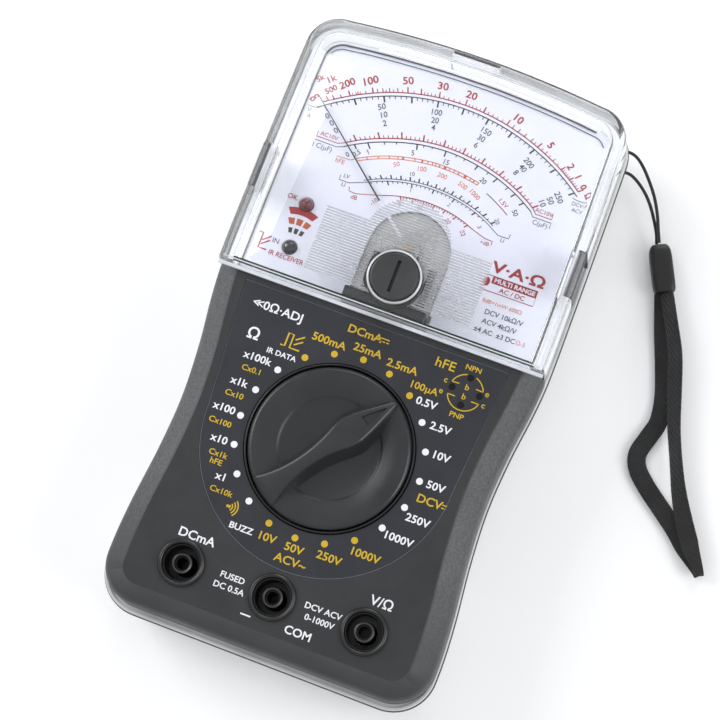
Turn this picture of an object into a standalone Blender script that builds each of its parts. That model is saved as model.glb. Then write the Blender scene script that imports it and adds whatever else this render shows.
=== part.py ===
"""Analog multimeter lying on its back: +X right, +Y towards the dial end, +Z out of the face."""
import math

import bmesh
import bpy
from mathutils import Vector

MM = 0.001

# Case outline: half-widths at the split plane, read from the lower end to the dial end (mm).
SIDE_TABLE = ((-92.0, 48.8), (-78.0, 49.6), (-64.0, 49.0), (-46.0, 47.2), (-30.0, 46.5),
              (-14.0, 47.5), (0.0, 49.3), (10.0, 50.1), (30.0, 50.2), (60.0, 50.0), (92.0, 49.6))
REAR_Y0, REAR_Y1 = -92.5, 92.76
FRONT_Y0, FRONT_Y1 = -91.0, 9.5
COVER_Y0, COVER_Y1 = 9.8, 92.0
LOW_CORNER_R = 12.0
TOP_CORNER_R = 11.0
TOP_ARCH = 2.4
WALL = 2.2

# Levels above the rest plane (mm).
SPLIT_Z = 20.5
PANEL_Z = 34.0
COVER_Z = 40.0
DIAL_Z = 28.0
BOARD_Z = 14.0
GAP = 0.3

# Range switch.
KNOB_XY = (0.0, -30.5)
KNOB_R = 23.1
BEZEL_R = 24.2
KNOB_ANGLE = -36.0
KNOB_TOP_Z = 40.5

# Jacks, transistor socket and adjusters.
JACK_XY = ((-27.3, -75.1), (0.0, -75.1), (27.3, -75.1))
HFE_XY = (30.3, -2.1)
HFE_PITCH_R = 4.1
ZERO_XY = (0.45, 20.8)
ZERO_R = 6.9
OHM_XY = (-40.9, -1.8)
OHM_R = 8.3

# Moving-coil movement.
PIVOT_XY = (0.3, 31.8)
NEEDLE_LEN = 54.0
NEEDLE_REST = 50.0
LED_XY = (-32.9, 34.7)
IR_XY = (-32.9, 21.1)

# Fastening and supply.
POST_XY = ((-40.0, -79.0), (40.0, -79.0), (-40.0, -14.0), (40.0, -14.0))
CELL_Y = (62.0, 77.4)
CELL_R = 7.2
CELL_LEN = 50.0

# Lanyard route points; the cord is a loop through the eye in the side of the rear case.
CORD_ROUTE = ((66.6, 66.0, 4.2), (65.3, 69.0, 4.4), (63.6, 72.9, 5.2), (61.3, 77.0, 6.1),
              (58.6, 80.6, 7.0), (54.7, 84.8, 8.0), (51.4, 87.0, 8.8), (48.2, 87.3, 9.0),
              (45.2, 86.6, 9.0), (44.2, 84.2, 9.0), (45.2, 81.6, 9.0), (48.0, 80.9, 9.0),
              (51.7, 81.1, 8.6), (54.9, 79.8, 7.7), (58.0, 77.6, 6.6), (60.6, 75.0, 5.2),
              (63.0, 71.7, 3.6), (65.0, 68.2, 2.5), (66.0, 65.8, 2.3))
BEAD_AXIS = ((67.4, 64.2), (73.6, 52.2))
BEAD_W, BEAD_H = 6.6, 5.6
WEB_ROUTE = ((74.6, 50.9, 4.1), (78.9, 42.5, 4.4), (82.6, 34.5, 4.2), (86.1, 23.8, 3.8),
             (89.2, 14.5, 3.6), (93.0, 5.3, 3.4), (97.0, -3.6, 3.4), (101.0, -10.8, 3.6),
             (105.2, -17.4, 3.9), (109.6, -23.2, 3.6), (110.6, -24.5, 2.4), (109.4, -23.0, 1.0),
             (104.6, -18.9, 0.8), (99.6, -14.2, 0.8), (93.6, -10.0, 0.8), (87.6, -5.6, 0.8),
             (83.4, -1.0, 0.8), (81.9, 3.6, 0.8), (83.1, 8.8, 0.8), (84.2, 14.6, 0.8),
             (82.9, 22.0, 0.8), (80.2, 30.6, 0.8), (77.4, 40.1, 1.0), (74.2, 49.2, 1.5))
WEB_W, WEB_T = 5.4, 1.0


# ---------------------------------------------------------------- helpers
def clear_scene():
    for obj in list(bpy.data.objects):
        bpy.data.objects.remove(obj, do_unlink=True)


def material(name, color, rough=0.5, metal=0.0, alpha=1.0):
    mat = bpy.data.materials.new(name)
    mat.use_nodes = True
    shader = mat.node_tree.nodes["Principled BSDF"]
    shader.inputs["Base Color"].default_value = (*color, 1.0)
    shader.inputs["Roughness"].default_value = rough
    shader.inputs["Metallic"].default_value = metal
    shader.inputs["Alpha"].default_value = alpha
    return mat


def make(name, verts, faces, mat=None, origin=(0, 0, 0), smooth=False):
    """One closed mesh object from millimetre coordinates, with its origin where asked."""
    base = Vector(origin)
    mesh = bpy.data.meshes.new(name)
    mesh.from_pydata([tuple((Vector(v) - base) * MM) for v in verts], [], faces)
    bm = bmesh.new()
    bm.from_mesh(mesh)
    bmesh.ops.recalc_face_normals(bm, faces=bm.faces)
    bm.to_mesh(mesh)
    bm.free()
    obj = bpy.data.objects.new(name, mesh)
    obj.location = base * MM
    bpy.context.collection.objects.link(obj)
    if mat:
        mesh.materials.append(mat)
    if smooth:
        mesh.shade_smooth()
        mesh.set_sharp_from_angle(angle=math.radians(35))
    return obj


def loft(rings):
    """Skin a stack of equal-length rings and cap both ends."""
    n = len(rings[0])
    verts = [v for ring in rings for v in ring]
    faces = [tuple(range(n)), tuple(range(len(verts) - n, len(verts)))]
    for k in range(len(rings) - 1):
        for i in range(n):
            j = (i + 1) % n
            faces.append((k * n + i, k * n + j, (k + 1) * n + j, (k + 1) * n + i))
    return verts, faces


def lathe(profile, centre, seg=20):
    """Turn a closed (r, z) profile about a vertical axis; r = 0 points become poles."""
    verts, faces, index = [], [], []
    for r, z in profile:
        if r == 0:
            index.append([len(verts)] * seg)
            verts.append((centre[0], centre[1], z))
            continue
        index.append(list(range(len(verts), len(verts) + seg)))
        for i in range(seg):
            a = 2 * math.pi * i / seg
            verts.append((centre[0] + r * math.cos(a), centre[1] + r * math.sin(a), z))
    closed = profile[0][0] > 0
    count = len(profile) if closed else len(profile) - 1
    for k in range(count):
        a, b = index[k], index[(k + 1) % len(profile)]
        for i in range(seg):
            j = (i + 1) % seg
            quad = []
            for v in (a[i], a[j], b[j], b[i]):
                if v not in quad:
                    quad.append(v)
            faces.append(tuple(quad))
    return verts, faces


def disc(r, z0, z1, centre, seg=20):
    return lathe([(0, z0), (r, z0), (r, z1), (0, z1)], centre, seg)


def prism(points, z0, z1):
    return loft([[(x, y, z0) for x, y in points], [(x, y, z1) for x, y in points]])


def box(x0, x1, y0, y1, z0, z1):
    return prism([(x0, y0), (x1, y0), (x1, y1), (x0, y1)], z0, z1)


def bar_x(y, z, r, x0, x1, seg=16):
    """Cylinder lying along X."""
    rings = []
    for x in (x0, x1):
        rings.append([(x, y + r * math.cos(t), z + r * math.sin(t))
                      for t in (2 * math.pi * i / seg for i in range(seg))])
    return loft(rings)


def merged(*solids):
    verts, faces = [], []
    for v, f in solids:
        base = len(verts)
        verts.extend(v)
        faces.extend(tuple(i + base for i in face) for face in f)
    return verts, faces


def boolean(obj, name, operation, *solids):
    """Add one Boolean step whose hidden tool holds all the given solids."""
    verts, faces = merged(*solids)
    tool = make(name, verts, faces)
    tool.hide_render = True
    tool.display_type = 'WIRE'
    mod = obj.modifiers.new(name, 'BOOLEAN')
    mod.operation = operation
    mod.solver = 'EXACT'
    mod.object = tool


def half_width(y):
    """Smooth interpolation of the side table."""
    table = SIDE_TABLE
    if y <= table[0][0]:
        return table[0][1]
    for (ya, wa), (yb, wb) in zip(table, table[1:]):
        if y <= yb:
            t = (y - ya) / (yb - ya)
            t = t * t * (3 - 2 * t)
            return wa + (wb - wa) * t
    return table[-1][1]


def outline(y0, y1, inset, r_low, r_top, arch, n_side=14, n_arc=6, y_inset=None):
    """Closed case outline, mirrored about X = 0, anticlockwise from the lower middle."""
    drop = inset if y_inset is None else y_inset
    low, high = y0 + (drop if r_low else 0), y1 - (inset if r_top else 0)
    rl = max(r_low - inset, 1.5) if r_low else 0.0
    rt = max(r_top - inset, 1.5) if r_top else 0.0
    right = []
    if rl:
        side = half_width(low + rl) - inset
        for i in range(n_arc):
            a = math.radians(-90 + 90 * i / n_arc)
            right.append((side - rl + rl * math.cos(a), low + rl + rl * math.sin(a)))
    crown = half_width(high - rt) - inset - rt
    sag = arch * (crown / 39.0) ** 2
    ya, yb = low + rl, high - rt - sag
    for i in range(n_side + 1):
        y = ya + (yb - ya) * i / n_side
        right.append((half_width(y) - inset, y))
    if rt:
        side = half_width(yb) - inset
        for i in range(1, n_arc + 1):
            a = math.radians(90 * i / n_arc)
            right.append((side - rt + rt * math.cos(a), yb + rt * math.sin(a)))
        for k in (0.66, 0.33):
            right.append((crown * k, high - arch * (crown * k / 39.0) ** 2))
    left = [(-x, y) for x, y in reversed(right)]
    return right + left


def at(points, z):
    return [(x, y, z) for x, y in points]


def rotated(points, angle, centre):
    c, s = math.cos(math.radians(angle)), math.sin(math.radians(angle))
    return [(centre[0] + x * c - y * s, centre[1] + x * s + y * c) for x, y in points]


def circle(r, centre, seg):
    return [(centre[0] + r * math.cos(2 * math.pi * i / seg),
             centre[1] + r * math.sin(2 * math.pi * i / seg)) for i in range(seg)]


# ---------------------------------------------------------------- case
def rear_case(mat):
    def ring(inset, z):
        return at(outline(REAR_Y0, REAR_Y1, inset, LOW_CORNER_R, TOP_CORNER_R, TOP_ARCH), z)

    verts, faces = loft([ring(WALL, 2.4), ring(WALL - 0.5, SPLIT_Z), ring(-0.5, SPLIT_Z),
                         ring(0.6, 6.0), ring(2.0, 1.6), ring(4.2, 0.0)])
    obj = make("rear_case", verts, faces, mat)
    bosses = [disc(5.0, 2.0, 7.0, xy, 14) for xy in POST_XY]
    frame = [box(-30.2, 30.2, 52.4, 53.6, 2.0, 17.0), box(-30.2, 30.2, 85.8, 87.0, 2.0, 17.0),
             box(-30.2, -29.0, 53.0, 86.4, 2.0, 17.0), box(29.0, 30.2, 53.0, 86.4, 2.0, 17.0)]
    boolean(obj, "rear_case_adds", 'UNION', *bosses)
    for i, solid in enumerate(frame):
        boolean(obj, "rear_case_rib_%d" % i, 'UNION', solid)
    cuts = [disc(1.8, -1.0, 9.0, xy, 12) for xy in POST_XY]
    heads = [disc(3.5, -1.0, 4.0, xy, 14) for xy in POST_XY]
    boolean(obj, "rear_case_cuts", 'DIFFERENCE', *cuts, box(-27.0, 27.0, 55.0, 84.6, -1.0, 5.0),
            box(-4.5, 4.5, 46.0, 50.2, -1.0, 1.0),
            bar_x(87.0, 9.0, 1.5, 42.0, 54.0, 10), bar_x(81.0, 9.0, 1.5, 42.0, 54.0, 10))
    boolean(obj, "rear_case_heads", 'DIFFERENCE', *heads)
    return obj


def front_case(mat):
    def ring(inset, z, y_inset=None):
        return at(outline(FRONT_Y0, FRONT_Y1, inset, LOW_CORNER_R, 0.0, 0.0, y_inset=y_inset), z)

    inner = outline(FRONT_Y0, FRONT_Y1 - WALL, WALL + 0.4, LOW_CORNER_R, 0.0, 0.0)
    high = outline(FRONT_Y0, FRONT_Y1 - WALL, WALL + 5.0, LOW_CORNER_R, 0.0, 0.0)
    low_z = SPLIT_Z + GAP
    verts, faces = loft([at(high, PANEL_Z - WALL), at(inner, 27.0), at(inner, low_z),
                         ring(0.0, low_z), ring(0.5, 27.0), ring(1.3, 28.6),
                         ring(6.9, PANEL_Z, 5.7)])
    obj = make("front_case", verts, faces, mat)
    boolean(obj, "front_posts", 'UNION', *[disc(3.0, 7.3, 32.6, xy, 12) for xy in POST_XY])
    jack_holes = [disc(6.2, 30.0, 36.0, xy, 20) for xy in JACK_XY]
    pilots = [disc(1.8, 6.0, 13.5, xy, 12) for xy in POST_XY]
    boolean(obj, "front_cuts", 'DIFFERENCE', disc(BEZEL_R + GAP, 30.0, 36.0, KNOB_XY, 40),
            disc(5.7, 30.0, 33.0, HFE_XY, 16), *jack_holes, *pilots,
            box(-53.0, -43.0, -10.6, 7.0, 19.0, 24.9))
    boolean(obj, "front_label_recess", 'DIFFERENCE', prism(label_outline(0.15), 33.4, 36.0))
    return obj


def label_outline(grow=0.0):
    """Flat-topped shield whose lower part is an arc about the knob."""
    cx, cy = KNOB_XY
    r = 36.6 + grow
    points = [(39.8 + grow, 6.8 + grow), (-39.8 - grow, 6.8 + grow)]
    for i in range(25):
        a = math.radians(180 + 180 * i / 24)
        points.append((cx + r * math.cos(a), cy + r * math.sin(a)))
    return points


def panel_label(mat):
    verts, faces = prism(label_outline(), 33.5, 33.85)
    obj = make("panel_label", verts, faces, mat)
    holes = [disc(0.75, 33.0, 34.5, xy, 8) for xy in hfe_holes()]
    boolean(obj, "label_cuts", 'DIFFERENCE', disc(BEZEL_R + 0.35, 33.0, 34.5, KNOB_XY, 40), *holes)
    return obj


def hfe_holes():
    return [(HFE_XY[0] + HFE_PITCH_R * math.cos(math.radians(a)),
             HFE_XY[1] + HFE_PITCH_R * math.sin(math.radians(a))) for a in (0, 90, 180, 270)]


def meter_cover(mat):
    def ring(inset, z):
        return at(outline(COVER_Y0, COVER_Y1, inset, 0.0, TOP_CORNER_R, TOP_ARCH), z)

    def inner(inset, z):
        return at(outline(COVER_Y0 + 1.8, COVER_Y1, inset, 0.0, TOP_CORNER_R, TOP_ARCH), z)

    low_z = SPLIT_Z + GAP
    verts, faces = loft([inner(5.2, COVER_Z - 2.2), inner(4.2, low_z), ring(0.0, low_z),
                         ring(0.9, 36.0), ring(1.7, 39.2), ring(2.7, COVER_Z)])
    obj = make("meter_cover", verts, faces, mat)
    boolean(obj, "cover_cuts", 'DIFFERENCE', disc(ZERO_R + GAP, 36.0, 42.0, ZERO_XY, 24),
            box(-54.0, -46.6, 32.2, 46.3, 19.0, 38.4), box(46.6, 54.0, 32.2, 46.3, 19.0, 38.4),
            box(-7.3, 7.3, 88.9, 94.0, 19.0, 38.4))
    return obj


def cover_lugs(mat):
    z0, z1 = SPLIT_Z + GAP, 38.0
    make("cover_lug_left", *box(-49.0, -46.9, 32.5, 46.0, z0, z1), mat)
    make("cover_lug_right", *box(46.9, 49.0, 32.5, 46.0, z0, z1), mat)
    make("cover_lug_top", *box(-7.0, 7.0, 89.2, 90.8, z0, z1), mat)
    make("dial_foot", *box(-12.6, 12.2, 12.0, 15.0, 24.0, 34.8), mat)


# ---------------------------------------------------------------- range switch
def knob_bezel(mat):
    profile = [(BEZEL_R, 28.3), (BEZEL_R, 34.5), (BEZEL_R - 0.6, 34.5), (BEZEL_R - 0.6, 29.8),
               (4.6, 29.8), (4.6, 28.3)]
    make("knob_bezel", *lathe(profile, KNOB_XY, 40), mat, smooth=True)


def handle_ring(spread, z_mid, z_end):
    """Plan outline of the grip bar in knob axes, pointer along +Y."""
    right = ((4.6, -21.9), (3.9, -15.0), (3.6, -8.0), (4.0, -1.0), (4.4, 6.0), (3.2, 13.0),
             (1.6, 19.0), (0.4, 22.4))
    left = [(-x, y) for x, y in reversed(right)]
    ring = []
    for x, y in list(right) + left:
        k = 1.0 - (abs(y) / 22.5) ** 2
        ring.append((x * spread, y * (0.96 if spread < 1 else 1.0), z_end + (z_mid - z_end) * k))
    return ring


def range_knob(mat):
    profile = [(0, 30.2), (KNOB_R - 0.4, 30.2), (KNOB_R, 30.8), (KNOB_R, 34.8),
               (KNOB_R - 0.7, 35.5), (KNOB_R - 1.6, 35.4), (KNOB_R - 4.0, 33.9), (0, 33.4)]
    verts, faces = lathe(profile, KNOB_XY, 40)
    origin = (*KNOB_XY, PANEL_Z)
    obj = make("range_knob", verts, faces, mat, origin, smooth=True)
    rings = []
    for spread, z_mid, z_end in ((1.15, 32.0, 32.0), (1.0, 36.5, 35.0), (0.72, KNOB_TOP_Z, 36.2)):
        flat = handle_ring(spread, z_mid, z_end)
        plan = rotated([(x, y) for x, y, z in flat], KNOB_ANGLE, KNOB_XY)
        rings.append([(x, y, z) for (x, y), (_, _, z) in zip(plan, flat)])
    boolean(obj, "knob_grip", 'UNION', loft(rings))
    return obj


def switch_parts(brass, plastic, steel):
    origin = (*KNOB_XY, 20.0)
    make("knob_spindle", *disc(4.0, 12.6, 29.9, KNOB_XY, 16), plastic, origin, smooth=True)
    rotor = [(4.3, 18.4), (18.0, 18.4), (18.0, 20.4), (7.0, 20.4), (7.0, 24.0), (4.3, 24.0)]
    make("range_rotor", *lathe(rotor, KNOB_XY, 30), plastic, origin, smooth=True)
    arm = []
    for k in range(3):
        base = 120 * k
        for a, r in ((-40, 9.0), (-14, 9.0), (-9, 15.5), (9, 15.5), (14, 9.0), (40, 9.0)):
            t = math.radians(base + a)
            arm.append((KNOB_XY[0] + r * math.cos(t), KNOB_XY[1] + r * math.sin(t)))
    wiper = make("range_wiper", *prism(arm, 16.2, 16.8), brass, origin)
    boolean(wiper, "wiper_bore", 'DIFFERENCE', disc(4.4, 15.0, 18.0, KNOB_XY, 16))
    ball_xy = (KNOB_XY[0] + 19.9, KNOB_XY[1])
    ball = [(0, 17.8), (1.1, 18.2), (1.5, 19.3), (1.1, 20.4), (0, 20.8)]
    make("detent_ball", *lathe(ball, ball_xy, 10), steel, smooth=True)


# ---------------------------------------------------------------- jacks and sockets
def jacks(rubber, metal):
    names = ("current", "common", "volts")
    for name, xy in zip(names, JACK_XY):
        sleeve = [(6.5, 34.1), (6.5, 34.7), (6.2, 35.0), (5.6, 35.0), (5.4, 34.7), (5.2, 24.0),
                  (3.3, 24.0), (3.3, 22.0), (5.9, 22.0), (5.9, 34.1)]
        make("jack_sleeve_" + name, *lathe(sleeve, xy, 20), rubber, smooth=True)
        tube = [(0, 17.4), (3.0, 17.4), (3.0, 32.6), (2.1, 32.6), (2.1, 18.6), (0, 18.6)]
        make("jack_" + name, *lathe(tube, xy, 16), metal, smooth=True)


def hfe_socket(mat):
    obj = make("transistor_socket", *disc(5.4, 26.0, 32.7, HFE_XY, 16), mat)
    boolean(obj, "hfe_cuts", 'DIFFERENCE', *[disc(0.75, 27.5, 34.0, xy, 8) for xy in hfe_holes()])


def adjusters(dark, plastic):
    profile = [(0, 35.2), (8.2, 35.2), (8.2, 37.4), (ZERO_R, 37.4), (ZERO_R, 40.3),
               (ZERO_R - 0.4, 40.6), (0, 40.6)]
    screw = make("zero_adjust_screw", *lathe(profile, ZERO_XY, 28), dark, (*ZERO_XY, 38.0),
                 smooth=True)
    x, y = ZERO_XY
    boolean(screw, "zero_slot", 'DIFFERENCE', box(x - 0.55, x + 0.55, y - 4.8, y + 4.8, 39.2, 42.0))
    rim = []
    for i in range(48):
        r = OHM_R if i % 2 else OHM_R - 0.45
        a = 2 * math.pi * i / 48
        rim.append((OHM_XY[0] + r * math.cos(a), OHM_XY[1] + r * math.sin(a)))
    make("ohm_adjust_wheel", *prism(rim, 21.3, 24.4), plastic, (*OHM_XY, 22.8))
    make("adjust_pot", *disc(4.4, 16.0, 21.0, OHM_XY, 16), plastic)


# ---------------------------------------------------------------- dial and movement
def dial_plate(mat):
    cx, cy = PIVOT_XY
    notch = [(cx - 12.35, 15.4), (cx - 12.35, cy)]
    for i in range(1, 12):
        a = math.radians(180 - 15 * i)
        notch.append((cx + 12.0 * math.cos(a), cy + 12.0 * math.sin(a)))
    notch += [(cx + 12.35, cy), (cx + 12.35, 15.4)]
    edge = outline(15.4, COVER_Y1, 5.9, 0.0, TOP_CORNER_R, TOP_ARCH, n_side=4, n_arc=4)
    points = notch + [p for p in edge]
    obj = make("dial_plate", *prism(points, DIAL_Z - 1.0, DIAL_Z), mat)
    boolean(obj, "dial_cuts", 'DIFFERENCE', *[disc(2.4, 25.0, 30.0, xy, 14) for xy in (LED_XY, IR_XY)])


def indicators(red, black):
    led = [(0, 22.0), (2.2, 22.0), (2.2, 23.0), (2.0, 23.0), (2.0, 28.6), (1.4, 29.9), (0, 30.4)]
    make("status_led", *lathe(led, LED_XY, 14), red, smooth=True)
    eye = [(0, 22.0), (2.1, 22.0), (2.1, 28.4), (1.4, 29.3), (0, 29.6)]
    make("ir_receiver", *lathe(eye, IR_XY, 14), black, smooth=True)


def needle(mat):
    """Pointer at rest on the left end of the scale, with a balance tail behind the hub."""
    pts = [(-0.5, -1.0), (-0.35, -14.0), (-0.15, -NEEDLE_LEN), (0.15, -NEEDLE_LEN), (0.35, -14.0),
           (0.5, -1.0)]
    pts = [(x, -y) for x, y in pts]
    tail = [(1.1, 0.6), (1.0, -3.0), (0.5, -8.0), (-0.5, -8.0), (-1.0, -3.0), (-1.1, 0.6)]
    ring = rotated(pts + tail, NEEDLE_REST, PIVOT_XY)
    obj = make("needle", *prism(ring, 28.9, 29.3), mat, (*PIVOT_XY, 29.0))
    boolean(obj, "needle_hub", 'UNION', disc(2.0, 28.6, 29.6, PIVOT_XY, 14))
    boolean(obj, "needle_bore", 'DIFFERENCE', disc(0.75, 28.0, 31.0, PIVOT_XY, 10))


def movement(steel, copper, iron, brass):
    origin = (*PIVOT_XY, 20.0)
    ring = [(9.4, 12.0), (15.0, 12.0), (15.0, 24.0), (9.4, 24.0)]
    make("field_magnet", *lathe(ring, PIVOT_XY, 24), iron, smooth=True)
    make("pole_core", *disc(7.0, 13.0, 23.2, PIVOT_XY, 18), steel, smooth=True)
    cx, cy = PIVOT_XY
    angle = NEEDLE_REST
    loop = []
    for w, z0, z1 in ((8.8, 11.4, 25.2), (7.6, 12.4, 24.2)):
        loop.append([(w, z0), (w, z1), (-w, z1), (-w, z0)])
    verts, faces = [], []
    for ring_pts in loop:
        for side in (-1.6, 1.6):
            for u, z in ring_pts:
                x, y = rotated([(u, side)], angle, (cx, cy))[0]
                verts.append((x, y, z))
    for i in range(4):
        j = (i + 1) % 4
        faces += [(i, j, 4 + j, 4 + i), (8 + i, 8 + j, 12 + j, 12 + i),
                  (i, j, 8 + j, 8 + i), (4 + i, 4 + j, 12 + j, 12 + i)]
    make("moving_coil", verts, faces, copper, origin)
    make("upper_pivot", *disc(0.45, 26.4, 30.4, PIVOT_XY, 8), steel, origin)
    make("lower_pivot", *disc(0.45, 8.6, 11.1, PIVOT_XY, 8), steel, origin)
    hairspring(brass, origin)
    bridge = make("movement_bridge", *box(cx - 3.2, cx + 3.2, 17.2, cy + 3.2, 30.7, 31.7), steel)
    boolean(bridge, "bridge_post", 'UNION', box(cx - 3.2, cx + 3.2, 17.2, 19.2, 25.2, 31.2))
    make("upper_jewel", *disc(1.2, 32.0, 32.7, PIVOT_XY, 12), brass, smooth=True)
    make("lower_bearing", *lathe([(0, 6.4), (2.2, 6.4), (2.2, 8.3), (0, 8.3)], PIVOT_XY, 12), brass)


def hairspring(mat, origin):
    """Flat spiral ribbon between the coil and the pointer hub."""
    rings = []
    steps = 44
    for i in range(steps + 1):
        a = 2 * math.pi * 2.75 * i / steps
        r = 1.3 + 3.0 * i / steps
        ca, sa = math.cos(a), math.sin(a)
        rings.append([(PIVOT_XY[0] + q * ca, PIVOT_XY[1] + q * sa, z)
                      for q, z in ((r, 26.2), (r + 0.25, 26.2), (r + 0.25, 26.8), (r, 26.8))])
    make("hairspring", *loft(rings), mat, origin)


# ---------------------------------------------------------------- inside
def board_parts(green, glass, steel, dark):
    points = [(-37.0, -72.0), (37.0, -72.0), (34.0, -30.0), (37.0, 8.0), (37.0, 12.0),
              (-36.0, 12.0), (-36.0, 8.0), (-34.0, -30.0)]
    obj = make("circuit_board", *prism(points, BOARD_Z, BOARD_Z + 1.6), green)
    boolean(obj, "board_bore", 'DIFFERENCE', disc(4.4, 13.0, 17.0, KNOB_XY, 16))
    make("fuse", *bar_x(-62.0, 19.2, 2.5, -9.6, 9.6, 12), glass, smooth=True)
    for name, x in (("left", -12.6), ("right", 10.2)):
        make("fuse_cap_" + name, *bar_x(-62.0, 19.2, 2.6, x, x + 2.4, 12), steel, smooth=True)
    buzzer = [(0, 16.0), (6.0, 16.0), (6.0, 18.0), (0, 18.0)]
    make("buzzer_disc", *lathe(buzzer, (-26.0, -56.0), 16), steel, smooth=True)
    make("fuse_base", *box(-14.0, 14.0, -64.6, -59.4, 15.9, 16.3), dark)


def battery_parts(jacket, steel, cover, mat_screw):
    for name, y in zip(("lower", "upper"), CELL_Y):
        make("cell_" + name, *bar_x(y, 10.2, CELL_R, -CELL_LEN / 2, CELL_LEN / 2, 18), jacket,
             smooth=True)
    y0, y1 = CELL_Y[0] - 6.0, CELL_Y[1] + 6.0
    make("cell_contact_left", *box(-26.6, -26.0, y0, y1, 5.5, 15.5), steel)
    make("cell_contact_right", *box(26.0, 26.6, y0, y1, 5.5, 15.5), steel)
    door = make("battery_door", *box(-26.6, 26.6, 55.4, 84.2, 0.25, 2.0), cover)
    boolean(door, "door_grip", 'DIFFERENCE', *[box(-9.0, 9.0, 58.0 + 2 * k, 59.0 + 2 * k, -1.0, 0.7)
                                               for k in range(4)])
    boolean(door, "door_bore", 'DIFFERENCE', disc(1.6, -1.0, 3.0, (0.0, 80.0), 12))
    screw = [(0, 0.5), (1.3, 0.5), (1.3, 2.4), (0, 2.4)]
    make("door_screw", *lathe(screw, (0.0, 80.0), 12), mat_screw, smooth=True)


def case_screws(mat):
    for i, xy in enumerate(POST_XY):
        profile = [(0, 1.4), (3.0, 1.4), (3.1, 2.0), (3.1, 3.7), (1.5, 3.7), (1.5, 12.5), (0, 13.0)]
        make("case_screw_%d" % (i + 1), *lathe(profile, xy, 12), mat, smooth=True)


# ---------------------------------------------------------------- lanyard
def smooth_route(points, step):
    """Catmull-Rom curve through the route, resampled at an even step."""
    pts = [Vector(p) for p in points]
    pts = [2 * pts[0] - pts[1]] + pts + [2 * pts[-1] - pts[-2]]
    dense = []
    for p0, p1, p2, p3 in zip(pts, pts[1:], pts[2:], pts[3:]):
        for k in range(12):
            t = k / 12
            dense.append(0.5 * (2 * p1 + (p2 - p0) * t + (2 * p0 - 5 * p1 + 4 * p2 - p3) * t * t
                                + (3 * p1 - p0 - 3 * p2 + p3) * t ** 3))
    dense.append(pts[-2])
    total = sum((b - a).length for a, b in zip(dense, dense[1:]))
    count = max(2, round(total / step))
    out, walked, target = [dense[0]], 0.0, total / count
    for a, b in zip(dense, dense[1:]):
        seg = (b - a).length
        while walked + seg >= target and len(out) < count:
            out.append(a.lerp(b, (target - walked) / seg))
            target += total / count
        walked += seg
    out.append(dense[-1])
    return out


def cord(name, route, mat, diameter=1.0):
    data = bpy.data.curves.new(name, 'CURVE')
    data.dimensions = '3D'
    data.bevel_depth = diameter / 2 * MM
    data.bevel_resolution = 2
    data.use_fill_caps = True
    points = smooth_route(route, 2.4)
    spline = data.splines.new('POLY')
    spline.points.add(len(points) - 1)
    for p, co in zip(spline.points, points):
        p.co = (*(co * MM), 1.0)
    data.materials.append(mat)
    obj = bpy.data.objects.new(name, data)
    bpy.context.collection.objects.link(obj)


def bead(mat):
    a, b = Vector((*BEAD_AXIS[0], 0)), Vector((*BEAD_AXIS[1], 0))
    axis = (b - a).normalized()
    side = Vector((-axis.y, axis.x, 0))
    rings = []
    for t, k in ((0.0, 0.72), (0.1, 1.0), (0.9, 1.0), (1.0, 0.8)):
        centre = a.lerp(b, t)
        ring = []
        for i in range(12):
            ang = 2 * math.pi * i / 12
            c, s = math.cos(ang), math.sin(ang)
            w = BEAD_W / 2 * k * math.copysign(abs(c) ** 0.6, c)
            h = BEAD_H / 2 * k * math.copysign(abs(s) ** 0.6, s)
            ring.append(tuple(centre + side * w + Vector((0, 0, h + BEAD_H / 2 + 0.2))))
        rings.append(ring)
    make("lanyard_bead", *loft(rings), mat, smooth=True)


def webbing(mat):
    """Flat strap swept along its route: out on top, folded over at the tip and back below."""
    points = smooth_route(WEB_ROUTE, 5.0)
    rings = []
    side = Vector((0.9, 0.45, 0))
    for i, p in enumerate(points):
        a, b = points[max(i - 1, 0)], points[min(i + 1, len(points) - 1)]
        t = (b - a).normalized()
        flat = Vector((t.x, t.y, 0))
        fresh = Vector((-t.y, t.x, 0)).normalized() if flat.length > 0.7 else side
        if fresh.dot(side) < 0:
            fresh = -fresh
        side = fresh
        up = side.cross(t).normalized()
        ring = []
        for u, v in ((-1, -1), (1, -1), (1, 1), (-1, 1)):
            ring.append(tuple(p + side * (u * WEB_W / 2) + up * (v * WEB_T / 2)))
        rings.append(ring)
    make("lanyard_webbing", *loft(rings), mat)


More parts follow.
